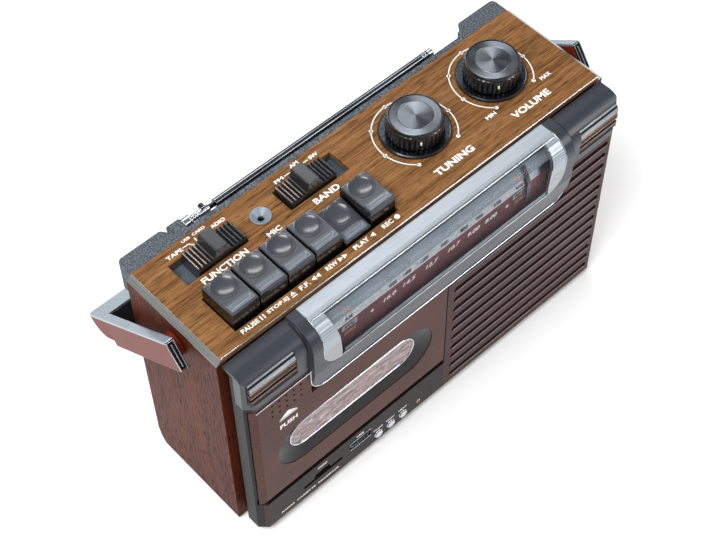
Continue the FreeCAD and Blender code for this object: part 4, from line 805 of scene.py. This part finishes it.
lens = Finish("dial_lens", Coat_Weight=0.3, Coat_Roughness=0.06)
x, y, z = lens.axes()
outward = lens.node("Math", {"operation": "ABSOLUTE"}, {0: x})
lens_tall = lens_high.z - lens_low.z
height = (z - lens_low.z) / lens_tall
END_EDGE, END_SPREAD = 0.0738, 0.0035
end_edge = END_EDGE + height * height * END_SPREAD
silver_top = y > (lens_high.y - 0.0098)
silver_end = outward > end_edge
silvered = lens.node("Math", {"operation": "MAXIMUM"}, {0: silver_top, 1: silver_end})
sand = lens.noise((2600, 2600, 2600), 2.0)
brush = lens.noise((60, 1300, 1300), 4.0)
rows = lens.node("Math", {"operation": "SINE"}, {0: z * (2 * math.pi / 0.00145)})
ridged = silver_end * (z > 0.1395) * (1 - silver_top)
plain = silver_end * (z < 0.1395) * (1 - silver_top)
silver = lens.mix(brush * 0.6 + sand * 0.4, paint(136, 145, 154), paint(196, 204, 212))
silver = lens.mix(ridged * (rows * 0.5 + 0.5) * 0.45, silver, paint(92, 100, 110))
silver = lens.mix(plain * (0.35 + sand * 0.3), silver, paint(128, 118, 118))
lens.feed(Base_Color=lens.mix(silvered, paint(60, 68, 78), silver), Metallic=silvered * 0.55,
          Roughness=0.08 + silvered * 0.3, Alpha=0.07 + silvered * 0.93,
          Normal=lens.bump(ridged * rows * 0.5 + plain * sand * 0.6, 0.0002, 0.5, 0.0003))
dress(lens.material, "dial_window")
# Painted highlight: a chrome bead along the top-front curve of the lens stands for the bright line that the
# curve reflects.
highlight_y, highlight_z = lens_high.y - 0.0108, lens_high.z - 0.00018
bead("lens_highlight_line", [(lens_low.x + 0.001, highlight_y, highlight_z), (lens_high.x - 0.001, highlight_y, highlight_z)],
     0.0003, chrome, "cabinet")
roll_y, roll_z, roll_radius = lens_low.y + 0.0125, lens_high.z - 0.0125, 0.0126
foot_y, foot_corner = lens_low.y + 0.0002, 0.012
for name, side, edge in (("left", -1, lens_low.x), ("right", 1, lens_high.x)):
    path = [(edge, highlight_y + 0.006 * (1 - k / 3), lens_high.z - 0.0002) for k in range(3)]
    for a in [math.radians(9 * k) for k in range(11)]:
        path.append((edge, roll_y - roll_radius * math.sin(a), roll_z + roll_radius * math.cos(a)))
    for a in right_angle:
        path.append((edge - side * foot_corner * (1 - math.cos(a)), foot_y,
                     lens_low.z + foot_corner * (1 - math.sin(a))))
    bead("lens_edge_" + name, path, 0.0003, cool_bright, "cabinet")
    path = []
    for climb in [0.0015 + k * 0.0015 for k in range(12)]:
        path.append((side * (END_EDGE + (climb / lens_tall) ** 2 * END_SPREAD), foot_y, lens_low.z + climb))
    bead("lens_end_line_" + name, path, 0.00022, chrome, "cabinet")
foot_lines = ((0.0735, 0.0001, 0.00035), (0.0715, 0.0022, 0.0002), (0.0715, 0.0036, 0.00016))
for i, (reach, climb, radius) in enumerate(foot_lines):
    z = lens_low.z + climb
    bead(f"lens_foot_line_{i}", [(-reach, foot_y, z), (reach, foot_y, z)], radius, cool_bright, "cabinet")

maroon = Finish("dial_maroon", Specular_IOR_Level=0.15)
speckle = maroon.noise((1400, 1400, 1400), 3.0)
cloud = maroon.noise((60, 60, 60), 2.0)
dapple = maroon.ramp(speckle * 0.5 + cloud * 0.5, (0.35, 0.0), (0.65, 1.0))
maroon.feed(Base_Color=maroon.mix(dapple, paint(84, 44, 48), paint(118, 68, 74)),
            Roughness=0.32 + speckle * 0.1, Normal=maroon.bump(speckle, 0.00001, 0.4))
band_silver = brushed("band_silver", paint(186, 190, 196), paint(148, 152, 158), (600, 600, 600), 0.3)
steel_blue = moulded("steel_blue", paint(112, 122, 132), paint(140, 150, 160), 0.3, Specular_IOR_Level=0.2)
card_front = [(0.1268, -0.0538), (0.1405, -0.0538), (0.1446, -0.0524), (0.1508, -0.0484)]
card_back = [(0.1508, -0.0470), (0.1440, -0.0508), (0.1268, -0.0515)]
card_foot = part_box("dial_scale")[0].z
outline = [(card_foot, card_front[0][1]), *card_front[1:], *card_back[:-1], (card_foot, card_back[-1][1])]
corners, sides = prism(outline, -0.0885, 0.0885)
card = solid("dial_card", [(w, v, u) for u, v, w in corners], sides, maroon.material, "cabinet")
card.data.materials.append(band_silver)
card.data.materials.append(steel_blue)
MAROON, SILVER, BLUE = range(3)
for polygon in card.data.polygons:
    x, y, z = polygon.center
    if z < 0.1408 or abs(x) > 0.088:
        polygon.material_index = MAROON
    else:
        polygon.material_index = SILVER if z < 0.1440 and y < -0.052 else BLUE
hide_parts("dial_scale")


def card_plane(step):
    """The plane of one step of the card, with its origin at the step's lower edge and v up the step."""
    (z0, y0), (z1, y1) = card_front[step], card_front[step + 1]
    lean = math.atan2(z1 - z0, y1 - y0)
    return Matrix.Translation((0, y0 - 0.00012, z0 + 0.00002)) @ Matrix.Rotation(lean, 4, "X")


def figures(band, marks, half, middle, tall, plane, ink, weight, slant=0.2):
    """Short printed words along one band of the card, each in the middle of its own place."""
    for words, x in marks:
        tag = words.lower().replace(".", "_")
        lettering(f"dial_{band}_{tag}", words, x - half, x + half, middle, tall, plane, ink, "cabinet",
                  "reel_white", slant=slant, weight=weight)


plane = card_plane(0)
short_wave = (("16.0", -36.6), ("14.5", -23.2), ("12.7", -7.2), ("10.7", 8.6), ("9.00", 22.8), ("8.00", 35.4))
figures("sw", short_wave, 4.4, 8.2, 3.1, plane, white_ink, 0.02, slant=0.22)
for side, x in (("left", -48.6), ("right", 47.4)):
    shape_on("dial_diamond_" + side, [(x - 1.3, 7.4), (x, 6.2), (x + 1.3, 7.4), (x, 8.6)], plane, white_ink,
             "cabinet", "reel_white")
bronze_ink = Finish("bronze_ink", Roughness=0.35, Metallic=0.4)
bronze_ink.feed(Base_Color=bronze_ink.mix(bronze_ink.noise((2000, 2000, 2000), 2.0), paint(196, 140, 100),
                                          paint(232, 180, 132)))
bronze_ink = bronze_ink.material
ink_dark = Finish("ink_dark", Roughness=0.5)
ink_dark.feed(Base_Color=ink_dark.mix(ink_dark.noise((2000, 2000, 2000), 2.0), paint(24, 22, 26),
                                      paint(44, 42, 46)))
ink_dark = ink_dark.material
for words, left, right in (("SW", -68.2, -59.6), ("MHz", 52.2, 61.4)):
    tag = words.lower()
    outline = [(left - 0.8, 8.4), (right + 0.8, 8.4), (right + 0.8, 12.6), (left - 0.8, 12.6)]
    shape_on("dial_box_" + tag, outline, plane, band_silver, "cabinet", "bright_trim")
    lettering("dial_word_" + tag, words, left + 0.6, right - 0.6, 10.5, 2.7,
              plane @ Matrix.Translation((0, 0, FILM)), ink_dark, "cabinet", "reel_white", slant=0.2)
for side, left, right in (("left", -67.6, -59.4), ("right", 53.0, 61.6)):
    lettering("dial_scale_word_" + side, "SCALE", left, right, 5.2, 2.7, plane, bronze_ink, "cabinet",
              "reel_white", slant=0.22, weight=0.012)
medium_wave = (("1600", -34.0), ("1400", -24.0), ("1200", -12.0), ("1000", 2.0), ("800", 16.0), ("700", 27.0),
               ("530", 40.0), ("AM", -63.8), ("kHz", 56.6))
figures("am", medium_wave, 2.7, 2.0, 2.0, card_plane(1), ink_dark, 0.01)
frequency = (("108", -36.0), ("104", -22.0), ("100", -7.0), ("96", 9.0), ("92", 24.0), ("88", 38.0))
figures("fm", frequency, 2.2, 2.6, 2.0, card_plane(2), band_silver, 0.012)
figures("fm", (("FM", -63.8), ("MHz", 56.6)), 2.2, 2.6, 2.0, card_plane(2), bronze_ink, 0.012)
pointer_low, pointer_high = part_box("dial_pointer")
middle = (pointer_low.x + pointer_high.x) / 2
needle = [(v - 0.0009, u + 0.0002) for u, v in card_front]
needle += [(v - 0.0015, u + 0.0006) for u, v in reversed(card_front)]
corners, sides = prism(needle, middle - 0.0011, middle + 0.0011)
pointer_ink = moulded("pointer_plastic", paint(36, 40, 46), paint(56, 60, 68), 0.3, Coat_Weight=0.5)
stick = solid("dial_pointer_needle", [(w, u, v) for u, v, w in corners], sides, pointer_ink, "pointer")
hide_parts("dial_pointer")

# --- Rear case, battery cover and mains inlet ---------------------------------------------------
# A grey moulding with a coarse sparkle texture. The battery cover swings on two stub pins; fine
# ribs mark its latch. Six sunk screws hold the case, and slots let the warm air out; the slots are
# flat black strips of painted shade.

rear_grey = Finish("rear_grey", Roughness=0.6)
grain = rear_grey.noise((1100, 1100, 1100), 2.0)
tone = rear_grey.noise((60, 60, 60), 2.0)
rear_grey.feed(Base_Color=rear_grey.mix(rear_grey.ramp(grain, (0.42, 0.0), (0.66, 1.0)), paint(40, 45, 52),
                                        paint(92, 101, 111)),
               Roughness=0.5 + tone * 0.2, Normal=rear_grey.bump(grain, 0.0001, 0.6, 0.0006))
rear_grey = rear_grey.material
dress(rear_grey, "rear_cabinet", "battery_cover")
dress(strip_black, "mains_inlet")
cover_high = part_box("battery_cover")[1]
rear_y = cover_high.y
for i in range(6):
    z = cover_high.z - 0.006 - i * 0.0016
    bead(f"latch_rib_{i}", [(-0.013, rear_y + 0.0001, z), (0.013, rear_y + 0.0001, z)], 0.0004, rear_grey,
         "battery_door", flat=0.8)
latch_half, latch_top, latch_foot = 0.0155, cover_high.z - 0.0035, cover_high.z - 0.0165
latch_frame = ((-latch_half, latch_top), (latch_half, latch_top), (latch_half, latch_foot),
               (-latch_half, latch_foot))
bead("latch_frame", [(x, rear_y, z) for x, z in latch_frame], 0.0004, rear_grey, "battery_door",
     closed=True)
screw_steel = brushed("screw_steel", paint(150, 152, 156), paint(90, 92, 96), (700, 700, 700), 0.3)
screw_places = ((-0.118, 0.014), (0.118, 0.014), (-0.118, 0.128), (0.118, 0.128), (0.0, 0.094),
                (0.060, 0.128))
screw_rings = ((0.0002, 0.0005), (0.0022, 0.00045), (0.0029, 0.0001), (0.0030, -0.0008))
turns = 32
for i, (x, z) in enumerate(screw_places):
    ring = [(x + u, rear_y, z + v) for u, v in circle(0.0040, turns)]
    bead(f"screw_well_{i}", ring, 0.0005, rear_grey, "cabinet", closed=True)
    vertices, faces = [], []
    for radius, depth in screw_rings:
        for k, (u, v) in enumerate(circle(radius, turns)):
            cross = 0.0006 if radius < 0.0025 and k % 8 in (0, 7, 1) else 0.0
            vertices.append((x + u, rear_y + depth - cross, z + v))
    for j in range(len(screw_rings) - 1):
        for k in range(turns):
            after = (k + 1) % turns
            faces.append((j * turns + k, j * turns + after, (j + 1) * turns + after, (j + 1) * turns + k))
    faces.append(tuple(range(turns)))
    solid(f"screw_{i}", vertices, faces, screw_steel, "cabinet", True)
# The air slots are flat near-black strips: painted shade, not openings.
vent_foot, vent_top = 0.060, 0.094
for i in range(8):
    x = 0.076 + (i - 3.5) * 0.0052
    bead(f"vent_{i}", [(x, rear_y + 0.0001, vent_foot), (x, rear_y + 0.0001, vent_top)], 0.0009, painted_shade_black,
         "cabinet", flat=0.35)
prong = brushed("prong_brass", paint(206, 186, 130), paint(170, 150, 100), (500, 500, 500), 0.2)
inlet_low, inlet_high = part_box("mains_inlet")
inlet_x, z = (inlet_low.x + inlet_high.x) / 2, (inlet_low.z + inlet_high.z) / 2
for name, x in (("left", inlet_x - 0.0043), ("right", inlet_x + 0.0043)):
    bead("inlet_prong_" + name, [(x, inlet_low.y + reach, z) for reach in (0.0025, 0.0098, 0.0103)],
         0.00128, prong, "cabinet")

# --- Telescopic antenna -------------------------------------------------------------------------
# Three chromed brass tubes on a ribbed swivel with a black-headed pin, clipped along the back.

antenna_chrome = brushed("antenna_chrome", paint(120, 124, 130), paint(60, 64, 70), (20, 500, 500), 0.1)
bright_chrome = brushed("bright_chrome", paint(214, 218, 224), paint(170, 176, 184), (200, 200, 200), 0.16)
dress(antenna_chrome, "antenna_tube_outer", "antenna_tube_middle")
dress(bright_chrome, "antenna_socket", "antenna_knuckle", "antenna_tube_inner")
tube_low, tube_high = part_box("antenna_tube_outer")
tube_y, tube_z = (tube_low.y + tube_high.y) / 2, (tube_low.z + tube_high.z) / 2
for i in range(3):
    x = tube_high.x - 0.0012 - i * 0.0011
    ring = [(x, tube_y + u, tube_z + v) for u, v in circle(0.00245, 24)]
    bead(f"antenna_crimp_{i}", ring, 0.00022, bright_chrome, "antenna_outer", closed=True)
knuckle_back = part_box("antenna_knuckle")[1].y
pin_x = -0.0776
bead("antenna_pin_cap", [(pin_x, knuckle_back + reach, tube_z) for reach in (-0.0012, 0.0010, 0.0013)],
     0.0016, key_side, "antenna_base")
socket_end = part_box("antenna_socket")[0].x
for i in range(2):
    x = socket_end + 0.0008 + i * 0.0040
    ring = [(x, tube_y + u, tube_z + v) for u, v in circle(0.00325, 28)]
    bead(f"antenna_ferrule_{i}", ring, 0.00025, bright_chrome, "cabinet", closed=True)
clip_x = 0.0055
clip = [(clip_x, tube_y + v, tube_z + w)
        for v, w in ((-0.0046, -0.0030), (-0.0020, -0.0031), (0.0010, -0.0031), (0.0030, -0.0018))]
bead("antenna_clip", clip, 0.0006, key_side, "cabinet")

# --- Carrying handle ----------------------------------------------------------------------------
# Two brown moulded arms joined by a grip, folded down behind the cabinet. The arms carry a silver
# strip and a black ribbed insert, and turn on steel pins behind the dial.

pivot = Vector(joint_of["handle"]["pos_m"])
handle_silver = brushed("handle_silver", paint(176, 190, 200), paint(150, 162, 172), (700, 700, 700), 0.3)
handle_black = moulded("handle_black", paint(14, 14, 16), paint(26, 26, 30), 0.32, Specular_IOR_Level=0.3)
trim_low, trim_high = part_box("handle_trim")
arm_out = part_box("handle_arms")[1].x
ARM_TO_END = 0.0137
lie = Vector((0, trim_low.y - trim_high.y, trim_high.z - trim_low.z)).normalized()
face = Vector((0, lie.z, -lie.y))
top_of_arm = face.dot(Vector((0, trim_low.y, trim_high.z)))
end_of_arm = lie.dot(pivot) + ARM_TO_END


def handle_finish(name, under, gloss):
    """A handle moulding: bright along its upper face, black at its front end, and under elsewhere."""
    finish = Finish(name, Specular_IOR_Level=0.1)
    grain = finish.noise((16, 420, 420), 4.0, 0.6, 0.3)
    fine = finish.noise((1800, 1800, 1800), 2.0)
    x, y, z = finish.axes()
    rise = y * face.y + z * face.z
    reach = y * lie.y + z * lie.z
    outward = finish.node("Math", {"operation": "ABSOLUTE"}, {0: x})
    bright = (rise > top_of_arm - 0.0011) * (outward > arm_out - 0.0049)
    colour = finish.mix(grain * 0.6 + fine * 0.4, under, [c * 0.62 for c in under[:3]] + [1])
    colour = finish.mix(bright, colour, finish.mix(fine, paint(150, 162, 172), paint(184, 196, 206)))
    colour = finish.mix(reach > end_of_arm - 0.0006, colour, paint(12, 12, 14))
    corner = (outward > arm_out - 0.0006) * (rise < top_of_arm - 0.0011)
    colour = finish.mix(corner, colour, finish.mix(grain, paint(122, 44, 28), paint(94, 34, 22)))
    return finish.feed(Base_Color=colour, Metallic=bright * 0.6, Roughness=gloss + fine * 0.1,
                       Normal=finish.bump(fine, 0.00002, 0.4, 0.0009))


dress(handle_finish("handle_brown", paint(122, 44, 28), 0.28), "handle_arms")
dress(handle_finish("handle_grip_black", paint(28, 26, 28), 0.32), "handle_grip")
dress(handle_silver, "handle_trim")
middle = pivot + lie * (ARM_TO_END + 0.0001)
for name, side in (("left", -1), ("right", 1)):
    outer = side * (arm_out - 0.0004)
    inner = side * (arm_out - 0.0043)
    frame_path = [(x, *(middle + face * offset).yz)
                  for x, offset in ((outer, -0.0079), (outer, 0.0082), (inner, 0.0082), (inner, -0.0079))]
    bead("handle_end_frame_" + name, frame_path, 0.00045, chrome, "handle", closed=True)
    bar_path = [((outer + inner) / 2, *(middle + face * offset).yz) for offset in (-0.0060, 0.0, 0.0066)]
    bead("handle_end_bar_" + name, bar_path, 0.0005, chrome, "handle")
    rib_x = side * (arm_out - 0.0049)
    for i in range(12):
        at = pivot + lie * (-0.006 - i * 0.0026) + face * 0.0088
        bead(f"handle_rib_{name}_{i}", [(rib_x, at.y, at.z), (rib_x + side * 0.0032, at.y, at.z)], 0.0004,
             handle_black, "handle", flat=0.5)

# --- Tape deck, loudspeaker and electronics -----------------------------------------------------
# The works behind the door and grille: a zinc-plated chassis, nylon reels, brass-rimmed flywheel,
# rubber belt and roller, a motor can, and a paper-cone loudspeaker beside a green circuit board.

deck_zinc = brushed("deck_zinc", paint(176, 178, 180), paint(140, 142, 146), (240, 240, 240), 0.34)
dress(deck_zinc, "deck_chassis", "deck_motor", "head_plate", "pivot_pins")
nylon = moulded("nylon", paint(226, 224, 216), paint(240, 238, 232), 0.4)
dress(nylon, "reel_supply", "reel_takeup")
brass = brushed("brass", paint(206, 176, 106), paint(172, 140, 80), (500, 500, 500), 0.24)
dress(brass, "flywheel", "motor_pulley")
rubber = moulded("rubber", paint(18, 18, 18), paint(30, 30, 30), 0.6)
dress(rubber, "pinch_roller", "drive_belt", "feet")
dress(moulded("holder_black", paint(22, 20, 22), paint(32, 30, 32), 0.3), "cassette_holder")
cone = moulded("speaker_black", paint(18, 18, 20), paint(34, 34, 36), 0.6)
dress(cone, "speaker")
board = moulded("board_green", paint(26, 70, 44), paint(40, 96, 60), 0.35, grain=500)
dress(board, "electronics")

# --- Floor, lights and camera -------------------------------------------------------------------
# A plain white table under a large soft lamp, with two weaker lamps at the front right and behind.

paper = Finish("floor_white", Roughness=0.6)
paper.feed(Base_Color=paper.mix(paper.noise((4, 4, 4), 2.0), paint(250, 250, 250), paint(255, 255, 255)))
floor = bpy.data.meshes.new("floor")
floor.from_pydata([(-4, -4, 0), (4, -4, 0), (4, 4, 0), (-4, 4, 0)], [], [(0, 1, 2, 3)])
floor.materials.append(paper.material)
ground = bpy.data.objects.new("floor", floor)
bpy.context.scene.collection.objects.link(ground)


def lamp_at(name, place, aim, power, size, colour=(1, 1, 1)):
    light = bpy.data.lights.new(name, "AREA")
    light.energy = power
    light.shape = "RECTANGLE"
    light.size, light.size_y = size
    light.color = colour
    lamp = bpy.data.objects.new(name, light)
    lamp.location = place
    lamp.rotation_euler = (Vector(aim) - Vector(place)).to_track_quat("-Z", "Y").to_euler()
    bpy.context.scene.collection.objects.link(lamp)


lamp_at("lamp_over", (-0.75, -0.15, 1.35), (0, 0, 0.08), 24, (0.8, 0.8))
lamp_at("lamp_front", (0.9, -1.1, 1.0), (0, 0, 0.1), 12, (0.9, 0.6))
lamp_at("lamp_behind", (0.45, 1.0, 1.15), (0, 0, 0.1), 9, (0.9, 0.35))
world = bpy.data.worlds.new("studio")
world.use_nodes = True
world.node_tree.nodes["Background"].inputs["Color"].default_value = (1, 1, 1, 1)
world.node_tree.nodes["Background"].inputs["Strength"].default_value = 0.3
bpy.context.scene.world = world
bpy.context.scene.view_settings.view_transform = "Standard"

azimuth, elevation, roll = (math.radians(a) for a in (-42.12, 54.34, -0.79))
flat = math.cos(elevation)
back = Vector((math.sin(azimuth) * flat, -math.cos(azimuth) * flat, math.sin(elevation)))
level = Vector((0, 0, 1)).cross(back).normalized()
upright = back.cross(level)
right = level * math.cos(roll) + upright * math.sin(roll)
up = upright * math.cos(roll) - level * math.sin(roll)
view = bpy.data.cameras.new("view")
view.lens = 78.8
view.sensor_width = 36
camera = bpy.data.objects.new("view", view)
facing = Matrix((right, up, back)).transposed().to_4x4()
camera.matrix_world = Matrix.Translation((-0.34782, -0.37572, 0.78154)) @ facing
bpy.context.scene.collection.objects.link(camera)
bpy.context.scene.camera = camera

bpy.context.view_layer.update()
